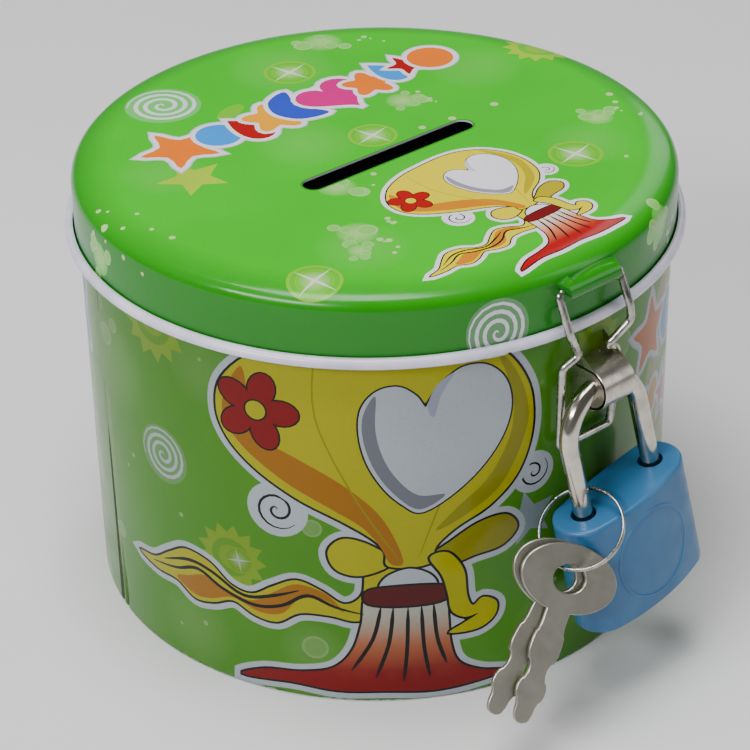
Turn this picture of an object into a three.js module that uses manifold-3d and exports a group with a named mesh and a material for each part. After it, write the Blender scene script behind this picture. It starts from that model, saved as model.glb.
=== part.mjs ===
// Tin money box: a round tin can with a slip lid, a coin slot, a wire hasp over a strap staple,
// and a small plastic padlock with two flat keys on a ring.
// Millimetres, +Z up. The can's axis is Z, it stands on z = 0, and the hasp faces -Y.
import * as THREE from "three";
import { mergeVertices } from "three/addons/utils/BufferGeometryUtils.js";
import Module from "manifold-3d";

const wasm = await Module();
wasm.setup();

// ---------------------------------------------------------------- driving dimensions

const SHEET = 0.3; // tinplate thickness
const GAP = 0.3; // free space between pieces that touch
const OVERCUT = 1; // how far a cutting shape runs past the face it opens
const ROUND_STEPS = 60; // flat facets around the can and the lid

const CAN = {
  radius: 50,
  rimHeight: 74.4, // where the wall starts to curl inwards
  rimRadius: 0.9,
  rimReturn: 1.8, // length of the curl's free end
  footRadius: 0.5,
  hemWidth: 1.5, // the folded foot, from the outside of the wall to its free end
  hemHeight: 2.6,
  seamAngle: -107.7, // around the can from the hasp, positive towards +X
  seamWidth: 4,
};

const BOTTOM = {
  flangeRadius: CAN.radius - SHEET - GAP,
  flangeFoot: 0.7,
  gutterHeight: 3.1,
  gutterWidth: 5,
  panelHeight: 0.3, // underside of the middle panel
  panelSlope: 2.5,
};

const LID = {
  top: 78,
  skirtRadius: CAN.radius + 2 * SHEET,
  crownRadius: 14, // gentle fall near the rim
  crownAngle: 20,
  cornerRadius: 2.6, // tight corner into the skirt
  curlHeight: 66.6, // centre of the rolled hem
  curlRadius: 0.95,
  curlEnd: 475, // the roll stops just short of the skirt, in degrees
  turn: -1.85, // how far the lid sits turned on the can, in degrees
};

const SLOT = { length: 35.9, width: 3.8, x: -0.6, y: -4.4, turn: -2 };

const TUNNEL = { height: 73.7, standoff: 1.1, length: 11.4, radius: 1.75, bore: 1.15, cut: 15 };

const WIRE_RADIUS = 0.7;

const STAPLE = {
  width: 6.8,
  thick: 0.6,
  top: 59,
  bottom: 52.4,
  reach: 7.3, // how far the loop stands out of the wall
  tab: 4, // length of the ends clinched inside
  tabStandoff: 0.45,
};

const LOCK = {
  axisStandoff: 4, // hinge line of the shackle inside the staple, from the wall
  axisHeight: 55.75,
  lean: 5.4, // bottom of the padlock away from the can, in degrees
  tilt: 10.8, // left side hangs lower, in degrees
  archShift: -0.8,
};

const SHACKLE = {
  radius: 1.6,
  spacing: 16.06,
  axisBelowTop: 0.5, // hinge line under the centre line of the arch's top
  straight: 12.4, // from the arch centre down to the case
  longLeg: 17,
  shortLeg: 8.5,
  notchTop: 5.1,
  notchBottom: 7.1,
  notchDepth: 1.2,
  grooveTop: 9,
  grooveBottom: 15.5,
  grooveDepth: 0.8,
};

const CASE = {
  height: 21.2,
  endRadius: 5.2,
  crease: 9.95, // where the bowed faces meet the round ends
  front: 6.2,
  back: 5.3,
  bore: 2.1,
  longBoreDepth: 19,
  shortBoreDepth: 9.5,
  pocket: { left: -4.6, right: 5.4, half: 3.3, top: -5 },
  recessDepth: 2,
  recessWall: 1.3,
};

const PIN = { radius: 0.75, clearance: 0.15, x: -6.15, depth: 9.8, length: 7.4, inset: 0.4 };

const LATCH = {
  left: -1.9,
  tip: 7.2,
  half: 2.2,
  top: -5.35,
  bottom: -6.8,
  foot: -9.3,
  keyFoot: -2.1, // left sides of the two feet
  restFoot: 3.4,
  footThick: 1,
};

const TOWER = { left: -4.3, right: 5.1, half: 3, top: -9.6, chamber: 2.5, chamberFloor: 4 };

const KEYWAY = { length: 5.6, width: 1.5, depth: 6 };

const SPRING = { radius: 0.75, wire: 0.2, turns: 4 };

// The key ring's place around the left leg: turn about Z, then tip about X, then roll about Y, in degrees.
const RING = { radius: 7, wire: 0.45, centre: [-8.87, -57.93, 33.81], turn: -41.6, tip: 32.1, roll: -20 };

const KEY = {
  thick: 0.8,
  drop: 1.45, // from the ring's wire down to the centre of the key's hole
  bowHalfWidth: 8.6,
  bowHalfHeight: 5.6,
  holeHalfWidth: 2.9,
  holeHalfHeight: 2.4,
};

// Half widths of the key's blade, each at its distance below the centre of the bow.
const KEY_BLADE = [
  [5.2, 2.1],
  [8.8, 2.1],
  [9.5, 2.7],
  [13.4, 2.7],
  [14.3, 1.6],
  [16.6, 1.6],
  [17.6, 2.6],
  [19.8, 2.6],
  [20.7, 1.7],
  [23.1, 1.6],
  [24.2, 0.8],
];

// How each key hangs: where on the ring, then turned, leaned back and swung sideways, in degrees.
const KEY_PLACES = {
  key_1: { along: -106, turn: -19.6, lean: -22, swing: 30 },
  key_2: { along: -118, turn: -19.6, lean: -22, swing: 38 },
};

// ---------------------------------------------------------------- materials

const material = (color, roughness, metalness) =>
  new THREE.MeshStandardMaterial({ color, roughness, metalness });

const printedTin = material(0x4fae30, 0.28, 0.1);
const steelWire = material(0xb9bab2, 0.28, 1);
const nickel = material(0xc4c2bb, 0.22, 1);
const bluePlastic = material(0x5f9cc4, 0.4, 0);
const keySteel = material(0x9b9a90, 0.42, 1);
const springSteel = material(0x8c8f92, 0.35, 1);

// ---------------------------------------------------------------- geometry helpers

const rad = THREE.MathUtils.degToRad;

// A closed geometry as a solid that can be joined and cut.
function solid(geometry) {
  const bare = new THREE.BufferGeometry();
  bare.setAttribute("position", geometry.getAttribute("position").clone());
  if (geometry.index) bare.setIndex(geometry.index.clone());
  const merged = mergeVertices(bare, 1e-4);
  return new wasm.Manifold(
    new wasm.Mesh({
      numProp: 3,
      vertProperties: merged.attributes.position.array,
      triVerts: new Uint32Array(merged.index.array),
    }),
  );
}

function geometryOf(body) {
  const mesh = body.getMesh();
  const geometry = new THREE.BufferGeometry();
  geometry.setAttribute("position", new THREE.BufferAttribute(mesh.vertProperties, 3));
  geometry.setIndex(new THREE.BufferAttribute(mesh.triVerts, 1));
  geometry.computeVertexNormals();
  return geometry;
}

function node(name, geometry, look) {
  const mesh = new THREE.Mesh(geometry, look);
  mesh.name = name;
  return mesh;
}

// Points of a circular arc, angles in degrees.
function arc(x, y, radius, from, to, steps) {
  const points = [];
  for (let i = 0; i <= steps; i++) {
    const angle = rad(from + ((to - from) * i) / steps);
    points.push(new THREE.Vector2(x + radius * Math.cos(angle), y + radius * Math.sin(angle)));
  }
  return points;
}

const at = (x, y) => new THREE.Vector2(x, y);

// Turns a profile of (radius, height) points around Z. A profile that doesn't start on the axis is closed.
function revolve(profile) {
  const points = THREE.ShapeUtils.area(profile) < 0 ? [...profile].reverse() : [...profile];
  if (points[0].x > 0) points.push(points[0].clone());
  return new THREE.LatheGeometry(points, ROUND_STEPS).rotateX(Math.PI / 2);
}

function extrude(points, depth) {
  return new THREE.ExtrudeGeometry(new THREE.Shape(points), {
    depth,
    bevelEnabled: false,
    curveSegments: 8,
  });
}

// A box between two corners.
function block(low, high) {
  const size = high.map((value, i) => value - low[i]);
  const middle = high.map((value, i) => (value + low[i]) / 2);
  return new THREE.BoxGeometry(...size).translate(...middle);
}

// An upright cylinder from one height to another.
function post(x, y, from, to, radius, sides = 24) {
  const cylinder = new THREE.CylinderGeometry(radius, radius, to - from, sides);
  return cylinder.rotateX(Math.PI / 2).translate(x, y, (from + to) / 2);
}

// A round wire that runs through the corners in straight lines, with each corner eased by a short bend.
function bentWire(corners, radius, bend, steps, sides) {
  const path = new THREE.CurvePath();
  let last = corners[0];
  for (let i = 1; i < corners.length - 1; i++) {
    const ease = (other) => {
      const way = other.clone().sub(corners[i]);
      return corners[i].clone().addScaledVector(way.normalize(), bend);
    };
    const before = ease(corners[i - 1]);
    const after = ease(corners[i + 1]);
    path.add(new THREE.LineCurve3(last, before));
    path.add(new THREE.QuadraticBezierCurve3(before, corners[i], after));
    last = after;
  }
  path.add(new THREE.LineCurve3(last, corners.at(-1)));
  const section = new THREE.Shape(arc(0, 0, radius, 0, 360 - 360 / sides, sides - 1));
  return new THREE.ExtrudeGeometry(section, { steps, extrudePath: path });
}

// Outline of a strip of even thickness along a centre line.
function strip(line, thick) {
  const side = (offset) =>
    line.map((point, i) => {
      const ahead = line[Math.min(i + 1, line.length - 1)];
      const behind = line[Math.max(i - 1, 0)];
      const way = ahead.clone().sub(behind).normalize();
      return at(point.x - way.y * offset, point.y + way.x * offset);
    });
  return [...side(thick / 2), ...side(-thick / 2).reverse()];
}

// ---------------------------------------------------------------- can

// The wall: a straight tin tube, curled inwards at the top and folded into a foot around the bottom plate.
function canWall() {
  const inside = CAN.radius - SHEET;
  const curl = CAN.radius - CAN.rimRadius;
  const curlInside = CAN.rimRadius - SHEET;
  const hem = CAN.radius - CAN.hemWidth;
  const foot = CAN.footRadius;
  const profile = [
    ...arc(CAN.radius - foot, foot, foot, 0, -90, 2),
    ...arc(hem + foot, foot, foot, -90, -180, 2),
    at(hem, CAN.hemHeight),
    at(hem + SHEET, CAN.hemHeight),
    at(hem + SHEET, foot),
    at(hem + foot, SHEET),
    at(CAN.radius - foot, SHEET),
    at(inside, foot),
    ...arc(curl, CAN.rimHeight, curlInside, 0, 180, 4),
    at(curl - curlInside, CAN.rimHeight - CAN.rimReturn),
    at(curl - CAN.rimRadius, CAN.rimHeight - CAN.rimReturn),
    ...arc(curl, CAN.rimHeight, CAN.rimRadius, 180, 0, 5),
  ];
  const seam = block(
    [inside - SHEET, -CAN.seamWidth / 2, CAN.hemHeight + 2],
    [inside + SHEET / 2, CAN.seamWidth / 2, CAN.rimHeight - CAN.rimReturn - 1],
  ).rotateZ(rad(CAN.seamAngle - 90));
  let wall = solid(revolve(profile)).add(solid(seam));
  for (const height of [STAPLE.top, STAPLE.bottom]) {
    const half = STAPLE.width / 2 + GAP;
    const reach = STAPLE.thick / 2 + GAP;
    const hole = block([-half, -CAN.radius - 1, height - reach], [half, -CAN.radius + 3, height + reach]);
    wall = wall.subtract(solid(hole));
  }
  return node("can_wall", geometryOf(wall), printedTin);
}

// The bottom: a pressed plate whose flange sits in the wall's folded foot.
function bottomPlate() {
  const outer = BOTTOM.flangeRadius;
  const inner = outer - SHEET;
  const gutterEnd = outer - BOTTOM.gutterWidth;
  const panelEdge = gutterEnd - BOTTOM.panelSlope;
  const profile = [
    at(0, BOTTOM.panelHeight),
    at(panelEdge, BOTTOM.panelHeight),
    at(gutterEnd, BOTTOM.gutterHeight),
    at(inner, BOTTOM.gutterHeight),
    at(inner, BOTTOM.flangeFoot),
    at(outer, BOTTOM.flangeFoot),
    at(outer, BOTTOM.gutterHeight + SHEET),
    at(gutterEnd, BOTTOM.gutterHeight + SHEET),
    at(panelEdge, BOTTOM.panelHeight + SHEET),
    at(0, BOTTOM.panelHeight + SHEET),
  ];
  return node("bottom_plate", revolve(profile), steelWire);
}

// The staple: a strap looped out of the wall, with both ends through it and bent over inside.
function staple() {
  const round = (STAPLE.top - STAPLE.bottom) / 2;
  const middle = (STAPLE.top + STAPLE.bottom) / 2;
  const bendCentre = STAPLE.reach - STAPLE.thick / 2 - round;
  const inside = -SHEET - STAPLE.tabStandoff - STAPLE.thick / 2;
  const line = [
    at(inside, STAPLE.top + STAPLE.tab),
    at(inside, STAPLE.top + 0.5),
    at(inside + 0.5, STAPLE.top),
    ...arc(bendCentre, middle, round, 90, -90, 10),
    at(inside + 0.5, STAPLE.bottom),
    at(inside, STAPLE.bottom - 0.5),
    at(inside, STAPLE.bottom - STAPLE.tab),
  ];
  const strap = extrude(strip(line, STAPLE.thick), STAPLE.width)
    .translate(CAN.radius, 0, -STAPLE.width / 2)
    .rotateX(Math.PI / 2)
    .rotateZ(-Math.PI / 2);
  return node("staple", strap, nickel);
}

// ---------------------------------------------------------------- lid and hasp

// The lid: a flat top with a soft edge, a straight skirt and an outward curl at its foot.
function lidShell() {
  const corner = LID.skirtRadius - LID.cornerRadius;
  const crownFrom = corner - (LID.crownRadius - LID.cornerRadius) * Math.sin(rad(LID.crownAngle));
  const crownCentre = LID.top - LID.crownRadius;
  const drop = (LID.crownRadius - LID.cornerRadius) * Math.cos(rad(LID.crownAngle));
  const cornerHeight = crownCentre + drop;
  const turned = 90 - LID.crownAngle;
  const curl = LID.skirtRadius + LID.curlRadius - SHEET;
  const profile = [
    at(0, LID.top),
    ...arc(crownFrom, crownCentre, LID.crownRadius, 90, turned, 2),
    ...arc(corner, cornerHeight, LID.cornerRadius, turned, 0, 4).slice(1),
    ...arc(curl, LID.curlHeight, LID.curlRadius - SHEET, 180, LID.curlEnd, 7),
    ...arc(curl, LID.curlHeight, LID.curlRadius, LID.curlEnd, 180, 9),
    ...arc(corner, cornerHeight, LID.cornerRadius - SHEET, 0, turned, 4),
    ...arc(crownFrom, crownCentre, LID.crownRadius - SHEET, turned, 90, 2).slice(1),
    at(0, LID.top - SHEET),
  ];
  return solid(revolve(profile));
}

// The round-ended opening for coins.
function coinSlot() {
  const radius = SLOT.width / 2;
  const half = SLOT.length / 2 - radius;
  const outline = [...arc(half, 0, radius, -90, 90, 8), ...arc(-half, 0, radius, 90, 270, 8)];
  return extrude(outline, 4)
    .rotateZ(rad(SLOT.turn))
    .translate(SLOT.x, SLOT.y, LID.top - 2);
}

// A rod across the front of the lid, along X.
function crossRod(radius, length) {
  return new THREE.CylinderGeometry(radius, radius, length, 16)
    .rotateZ(Math.PI / 2)
    .translate(0, -CAN.radius - TUNNEL.standoff, TUNNEL.height);
}

function lid() {
  const ridge = solid(crossRod(TUNNEL.radius, TUNNEL.length));
  const core = solid(post(0, 0, TUNNEL.height - 3, TUNNEL.height + 3, LID.skirtRadius - SHEET / 2, ROUND_STEPS));
  const body = lidShell()
    .add(ridge.subtract(core))
    .subtract(solid(crossRod(TUNNEL.bore, TUNNEL.cut)))
    .subtract(solid(coinSlot()));
  return node("lid", geometryOf(body), printedTin);
}

// The hasp: one wire through the lid's tunnel, down over the curl, necked in above the staple and
// opened into an eye around it. Corners are (across, out of the can's side, height).
function bailWire() {
  const across = 6.5;
  const route = [
    [across - 2, TUNNEL.standoff, TUNNEL.height],
    [-across, TUNNEL.standoff, TUNNEL.height],
    [-6, 3.5, 67],
    [-3, 2.6, 62.1],
    [-5.7, 1.6, 60.2],
    [-5.7, 1.4, 45.4],
    [5.4, 1.4, 45.4],
    [6.25, 1.4, 52],
    [6.25, 1.6, 59.4],
    [3.3, 2.4, 61.3],
    [7.2, 3.6, 65],
    [7, 3.5, 67.4],
    [across, TUNNEL.standoff, TUNNEL.height + 0.1],
  ];
  const corners = route.map(([x, out, z]) => new THREE.Vector3(x, -CAN.radius - out, z));
  return node("bail_wire", bentWire(corners, WIRE_RADIUS, 0.9, 70, 8), steelWire);
}

// ---------------------------------------------------------------- padlock

// All padlock pieces are drawn with the case's top face at z = 0, the legs at +-spacing / 2 and -Y to the front.

function shackle() {
  const half = SHACKLE.spacing / 2;
  const arch = [];
  for (let i = 0; i <= 16; i++) {
    const angle = Math.PI * (1 - i / 16);
    arch.push(new THREE.Vector3(half * Math.cos(angle), 0, SHACKLE.straight + half * Math.sin(angle)));
  }
  const path = new THREE.CurvePath();
  path.add(new THREE.LineCurve3(new THREE.Vector3(-half, 0, -SHACKLE.longLeg), arch[0]));
  path.add(new THREE.CatmullRomCurve3(arch));
  path.add(new THREE.LineCurve3(arch.at(-1), new THREE.Vector3(half, 0, -SHACKLE.shortLeg)));
  const section = new THREE.Shape(arc(0, 0, SHACKLE.radius, 0, 330, 11));
  let rod = solid(new THREE.ExtrudeGeometry(section, { steps: 56, extrudePath: path }));
  const leg = half - SHACKLE.radius;
  const notch = block(
    [leg - 1, -3, -SHACKLE.notchBottom],
    [leg + SHACKLE.notchDepth, 3, -SHACKLE.notchTop],
  );
  const sleeve = solid(post(-half, 0, -SHACKLE.grooveBottom, -SHACKLE.grooveTop, SHACKLE.radius + 1));
  const waist = solid(
    post(-half, 0, -SHACKLE.grooveBottom - 1, -SHACKLE.grooveTop + 1, SHACKLE.radius - SHACKLE.grooveDepth, 12),
  );
  rod = rod.subtract(solid(notch)).subtract(sleeve.subtract(waist));
  return node("shackle", geometryOf(rod), nickel);
}

// Plan of the case: round ends around the legs, and front and back faces that bow out between them.
// A positive inset draws the same shape that much smaller.
function casePlan(inset) {
  const half = SHACKLE.spacing / 2;
  const radius = CASE.endRadius;
  const edge = Math.sqrt(radius ** 2 - (CASE.crease - half) ** 2);
  const turn = THREE.MathUtils.radToDeg(Math.asin(edge / radius));
  const bow = (out) => {
    const rise = out - edge;
    const bend = (CASE.crease ** 2 + rise ** 2) / (2 * rise);
    const angle = THREE.MathUtils.radToDeg(Math.asin(CASE.crease / bend));
    return { centre: out - bend, radius: bend - inset, angle };
  };
  const front = bow(CASE.front);
  const back = bow(CASE.back);
  return [
    ...arc(half, 0, radius - inset, -turn, turn, 8),
    ...arc(0, back.centre, back.radius, 90 - back.angle, 90 + back.angle, 6).slice(1, -1),
    ...arc(-half, 0, radius - inset, 180 - turn, 180 + turn, 8),
    ...arc(0, -front.centre, front.radius, 270 - front.angle, 270 + front.angle, 6).slice(1, -1),
  ];
}

function padlockCase() {
  const half = SHACKLE.spacing / 2;
  const { left, right, half: deep, top } = CASE.pocket;
  let body = solid(extrude(casePlan(0), CASE.height).translate(0, 0, -CASE.height));
  const cuts = [
    post(-half, 0, -CASE.longBoreDepth, 1, CASE.bore),
    post(half, 0, -CASE.shortBoreDepth, 1, CASE.bore),
    block([left, -deep, -CASE.height], [right, deep, top]),
    block([right - 1, -deep + 0.7, LATCH.bottom - GAP], [half, deep - 0.7, top]),
    extrude(casePlan(CASE.recessWall), CASE.recessDepth + 1).translate(0, 0, -CASE.height - 1),
    pinRod(PIN.radius + PIN.clearance, PIN.length + 2 * OVERCUT),
  ];
  for (const cut of cuts) body = body.subtract(solid(cut));
  return node("padlock_case", geometryOf(body), bluePlastic);
}

// A rod that starts just outside the back of the case and runs forwards past the long leg.
function pinRod(radius, length) {
  const start = CASE.back + OVERCUT;
  return new THREE.CylinderGeometry(radius, radius, length, 16).translate(
    PIN.x,
    start - length / 2,
    -PIN.depth,
  );
}

// The pin that keeps the long leg in the case, sunk a little into the case's back.
function retainingPin() {
  const pin = pinRod(PIN.radius, PIN.length).translate(0, -OVERCUT - PIN.inset, 0);
  return node("retaining_pin", pin, springSteel);
}

// The case's bottom cover, with the key's tower standing on it.
function padlockBase() {
  const floor = -CASE.height;
  const plate = extrude(casePlan(CASE.recessWall + GAP), CASE.recessDepth - GAP).translate(0, 0, floor);
  const tower = block(
    [TOWER.left, -TOWER.half, floor + 1],
    [TOWER.right, TOWER.half, TOWER.top],
  );
  const keyway = block(
    [-KEYWAY.width / 2, -KEYWAY.length / 2, floor - OVERCUT],
    [KEYWAY.width / 2, KEYWAY.length / 2, floor + KEYWAY.depth],
  );
  const chamber = post(0, 0, floor + TOWER.chamberFloor, TOWER.top + OVERCUT, TOWER.chamber);
  const body = solid(plate).add(solid(tower)).subtract(solid(keyway)).subtract(solid(chamber));
  return node("padlock_base", geometryOf(body), bluePlastic);
}

// The latch: a plate whose nose sits in the short leg's notch, on two feet.
function latch() {
  const plate = block([LATCH.left, -LATCH.half, LATCH.bottom], [LATCH.tip, LATCH.half, LATCH.top]);
  let body = solid(plate);
  for (const left of [LATCH.keyFoot, LATCH.restFoot]) {
    const foot = block(
      [left, -LATCH.half, LATCH.foot],
      [left + LATCH.footThick, LATCH.half, (LATCH.top + LATCH.bottom) / 2],
    );
    body = body.add(solid(foot));
  }
  return node("latch", geometryOf(body), springSteel);
}

// The coil spring that pushes the latch into the notch, with its axis along X.
function latchSpring() {
  const from = CASE.pocket.left + GAP + SPRING.wire;
  const to = LATCH.left - GAP - SPRING.wire;
  const height = (LATCH.top + LATCH.bottom) / 2;
  const points = [];
  for (let i = 0; i <= SPRING.turns * 8; i++) {
    const angle = (i / 8) * 2 * Math.PI;
    const x = from + ((to - from) * i) / (SPRING.turns * 8);
    points.push(new THREE.Vector3(x, SPRING.radius * Math.cos(angle), height + SPRING.radius * Math.sin(angle)));
  }
  const section = new THREE.Shape(arc(0, 0, SPRING.wire, 0, 300, 5));
  const coil = new THREE.ExtrudeGeometry(section, {
    steps: SPRING.turns * 10,
    extrudePath: new THREE.CatmullRomCurve3(points),
  });
  return node("latch_spring", coil, springSteel);
}

// ---------------------------------------------------------------- keys

function keyRing() {
  return node("key_ring", new THREE.TorusGeometry(RING.radius, RING.wire, 8, 36), steelWire);
}

// A flat key in the XZ plane, with the hole's centre at the origin and the blade downwards.
function key(name) {
  const start = Math.asin(KEY_BLADE[0][1] / KEY.bowHalfWidth);
  const outline = [];
  const steps = 20;
  for (let i = 0; i <= steps; i++) {
    const angle = -Math.PI / 2 + start + ((2 * Math.PI - 2 * start) * i) / steps;
    outline.push(at(KEY.bowHalfWidth * Math.cos(angle), KEY.bowHalfHeight * Math.sin(angle)));
  }
  const blade = KEY_BLADE.slice(1);
  outline.push(...blade.map(([down, half]) => at(-half, -down)));
  outline.push(...blade.reverse().map(([down, half]) => at(half, -down)));
  const shape = new THREE.Shape(outline);
  const hole = [];
  for (let i = 0; i < 14; i++) {
    const angle = (-2 * Math.PI * i) / 14;
    hole.push(at(KEY.holeHalfWidth * Math.cos(angle), KEY.holeHalfHeight * Math.sin(angle)));
  }
  shape.holes.push(new THREE.Path(hole));
  const flat = new THREE.ExtrudeGeometry(shape, { depth: KEY.thick, bevelEnabled: false });
  return node(name, flat.translate(0, 0, -KEY.thick / 2).rotateX(Math.PI / 2), keySteel);
}

// ---------------------------------------------------------------- assembly

const moneyBox = new THREE.Group();

moneyBox.add(canWall(), bottomPlate(), staple());

const lidGroup = new THREE.Group();
lidGroup.rotation.z = rad(LID.turn);
lidGroup.add(lid(), bailWire());
moneyBox.add(lidGroup);

// The padlock hangs from its hinge line in the staple: first the lean, then the sideways tilt.
const hanging = new THREE.Group();
hanging.position.set(0, -CAN.radius - LOCK.axisStandoff, LOCK.axisHeight);
hanging.rotation.x = rad(-LOCK.lean);
const padlock = new THREE.Group();
const archCentre = SHACKLE.spacing / 2 - SHACKLE.axisBelowTop;
padlock.rotation.y = rad(-LOCK.tilt);
padlock.position.set(LOCK.archShift, 0, -archCentre);
padlock.position.add(new THREE.Vector3(0, 0, -SHACKLE.straight).applyEuler(padlock.rotation));
padlock.add(shackle(), padlockCase(), retainingPin(), padlockBase(), latch(), latchSpring());
hanging.add(padlock);
moneyBox.add(hanging);

// The ring is threaded around the shackle's left leg, and both keys hang from its lower side.
const ring = keyRing();
ring.position.set(...RING.centre);
ring.rotation.set(rad(RING.tip), rad(RING.roll), rad(RING.turn), "ZXY");
ring.updateMatrix();
moneyBox.add(ring);
for (const [name, place] of Object.entries(KEY_PLACES)) {
  const hung = key(name);
  hung.rotation.set(rad(place.lean), rad(place.swing), rad(place.turn), "ZXY");
  const angle = rad(place.along);
  const wire = new THREE.Vector3(RING.radius * Math.cos(angle), RING.radius * Math.sin(angle), 0);
  const drop = new THREE.Vector3(0, 0, -KEY.drop).applyEuler(hung.rotation);
  hung.position.copy(wire.applyMatrix4(ring.matrix).add(drop));
  moneyBox.add(hung);
}

export default moneyBox;
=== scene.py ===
"""Looks of the tin money box: printed can and lid, wire hasp, padlock, split ring and keys.

The object is modelled in millimetres in the row frame (+Z up, hasp towards -Y) and scaled by MM at the end.
"""

import random
from collections import namedtuple
from math import asin, atan2, cos, degrees, dist, hypot, pi, radians, sin, sqrt, tanh

import bpy
from mathutils import Matrix, Vector, geometry


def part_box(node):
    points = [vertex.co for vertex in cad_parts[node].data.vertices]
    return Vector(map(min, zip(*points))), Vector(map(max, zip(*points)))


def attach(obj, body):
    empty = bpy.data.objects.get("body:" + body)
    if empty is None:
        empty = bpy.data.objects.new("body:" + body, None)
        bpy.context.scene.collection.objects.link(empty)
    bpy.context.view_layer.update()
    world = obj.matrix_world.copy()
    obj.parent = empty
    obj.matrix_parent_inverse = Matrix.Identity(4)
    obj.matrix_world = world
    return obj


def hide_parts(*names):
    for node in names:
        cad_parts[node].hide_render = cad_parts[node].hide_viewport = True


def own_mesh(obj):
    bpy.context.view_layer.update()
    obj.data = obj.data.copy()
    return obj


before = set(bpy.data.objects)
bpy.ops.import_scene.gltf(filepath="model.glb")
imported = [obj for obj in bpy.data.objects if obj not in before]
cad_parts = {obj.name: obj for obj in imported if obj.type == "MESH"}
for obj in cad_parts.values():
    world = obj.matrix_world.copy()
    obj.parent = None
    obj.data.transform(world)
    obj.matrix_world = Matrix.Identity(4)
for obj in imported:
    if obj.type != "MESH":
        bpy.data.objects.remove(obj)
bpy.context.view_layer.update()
random.seed(7)

# ---------------------------------------------------------------- sizes

MM = 0.001
SHEET = 0.3  # tinplate thickness
ROUND = 160  # facets around the can and the lid
WALL_ROWS = 24  # rows of facets up the can's side
TOP_GRID = 3  # size of the facets on the lid's top
TUNNEL_GRID = (0.36, 0.32)  # size of the tunnel's facets, across and down

CAN_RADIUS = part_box("can_wall")[1].x / MM
LID_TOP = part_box("lid")[1].z / MM

# The can's wall, from the free end inside the folded foot to the free end of the curled rim.
FOOT_RADIUS = 0.5
HEM_WIDTH = 1.5
HEM_HEIGHT = 2.6
RIM_HEIGHT = 74.4
RIM_RADIUS = 0.9
RIM_RETURN = 1.8
SEAM_ANGLE = radians(-107.7)  # around the can from the hasp, positive towards +X
SEAM_U = SEAM_ANGLE * CAN_RADIUS

# The lid, from the middle of its top to the free end of its curl.
SKIRT_RADIUS = CAN_RADIUS + 2 * SHEET
CROWN_RADIUS = 14
CROWN_ANGLE = 20  # degrees of the wide bend before the tight one
CORNER_RADIUS = 2.6
CURL_HEIGHT = 66.6
CURL_RADIUS = 0.95
CURL_END = 475  # in degrees, where 180 is the foot of the skirt
LID_TURN = radians(-1.85)

TUNNEL_OUT = CAN_RADIUS + 1.1  # centre line of the tunnel in front of the lid's skirt
TUNNEL_HEIGHT = 73.7
TUNNEL_RADIUS = 1.75
TUNNEL_HALF = 5.7
TUNNEL_FADE = 0.5  # length of its sloping ends

SLOT_LENGTH = 35.9
SLOT_WIDTH = 3.8
SLOT_CENTRE = (-0.6, -4.4)
SLOT_TURN = radians(-2)

# The hasp's wire: across, out of the can's side, height.
WIRE_RADIUS = 0.68
WIRE_ROUTE = [
    (4.5, 1.1, 73.7), (-6.5, 1.1, 73.7), (-6, 3.5, 67), (-3, 2.6, 62.1), (-5.7, 1.6, 60.2),
    (-5.7, 1.4, 45.4), (5.4, 1.4, 45.4), (6.25, 1.4, 52), (6.25, 1.6, 59.4), (3.3, 2.4, 61.3),
    (7.2, 3.6, 65), (7, 3.5, 67.4), (6.5, 1.1, 73.8),
]

STAPLE_WIDTH = 6.8
STAPLE_THICK = 0.6
STAPLE_TOP = 59
STAPLE_BOTTOM = 52.4
STAPLE_REACH = 7.3
STAPLE_TAB = 4
STAPLE_TAB_STANDOFF = 0.45

GUTTER = (42.2, 44.4)  # radii of the bottom plate's two bends
GUTTER_HEIGHT = 3.1
PANEL_HEIGHT = 0.3
PANEL_MIDDLE = 0.4  # radius of the small flat face in the panel's middle
FLANGE_GAP = 0.3
FLANGE_FOOT = 0.7
FLANGE_TOP = 2.9

# The padlock's hinge line in the staple, and how the padlock hangs from it.
LOCK_STANDOFF = 4
LOCK_HEIGHT = 55.75
LOCK_LEAN = radians(5.4)
LOCK_TILT = radians(10.8)
ARCH_SHIFT = -0.8
ARCH_DROP = 0.5

SHACKLE_RADIUS = 1.58
SHACKLE_HALF = 8.03
SHACKLE_STRAIGHT = 12.4
SHACKLE_LONG = 17
SHACKLE_SHORT = 8.5

CASE_HEIGHT = 21.2
CASE_END = 5.2
CASE_CREASE = 9.95
CASE_FRONT = 6.2
CASE_BACK = 5.3
CASE_BORE = 2.1
CASE_FILLET = 0.7
CASE_RECESS = (2, 1.3)  # depth for the base cover, and the wall left around it
LONG_BORE = 19  # depths of the two bores for the shackle
SHORT_BORE = 9.5
POCKET = ((-4.6, -3.3), (5.4, 3.3))  # for the latch, in plan
POCKET_TOP = -5
NOTCH = (-7.1, -5.1)  # for the latch, in the short leg
GROOVE = (-15.4, -9.1)  # for the retaining pin, in the long leg
GROOVE_DEPTH = 0.8
PIN = (-6.15, -9.8)  # across and height of the retaining pin's hole
PIN_BORE = 0.9
OVAL = (7.6, 8.1, -10.9)  # half width, half height and middle of the raised line
OVAL_LINE = 0.3

COIL_FROM = -4.5  # ends of the latch spring along the padlock's X
COIL_TO = -2.2
COIL_HEIGHT = -6.075
COIL_RADIUS = 0.8
COIL_WIRE = 0.12
COIL_TURNS = 4
COIL_STEPS = 16  # points in each turn

RING_RADIUS = 7
RING_WIRE = 0.24
RING_STEPS = 72  # points in each of its two turns
RING_OPENING = 2.2  # where its wire ends, in radians around it
RING_CENTRE = Vector((-8.87, -57.93, 33.81))
RING_TURN = (32.1, -20, -41.6)  # tip, roll and turn in degrees

KEY_THICK = 0.8
KEY_DROP = 1.45
KEY_BOW = (8.6, 5.6)
KEY_HOLE = (2.9, 2.4)
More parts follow.
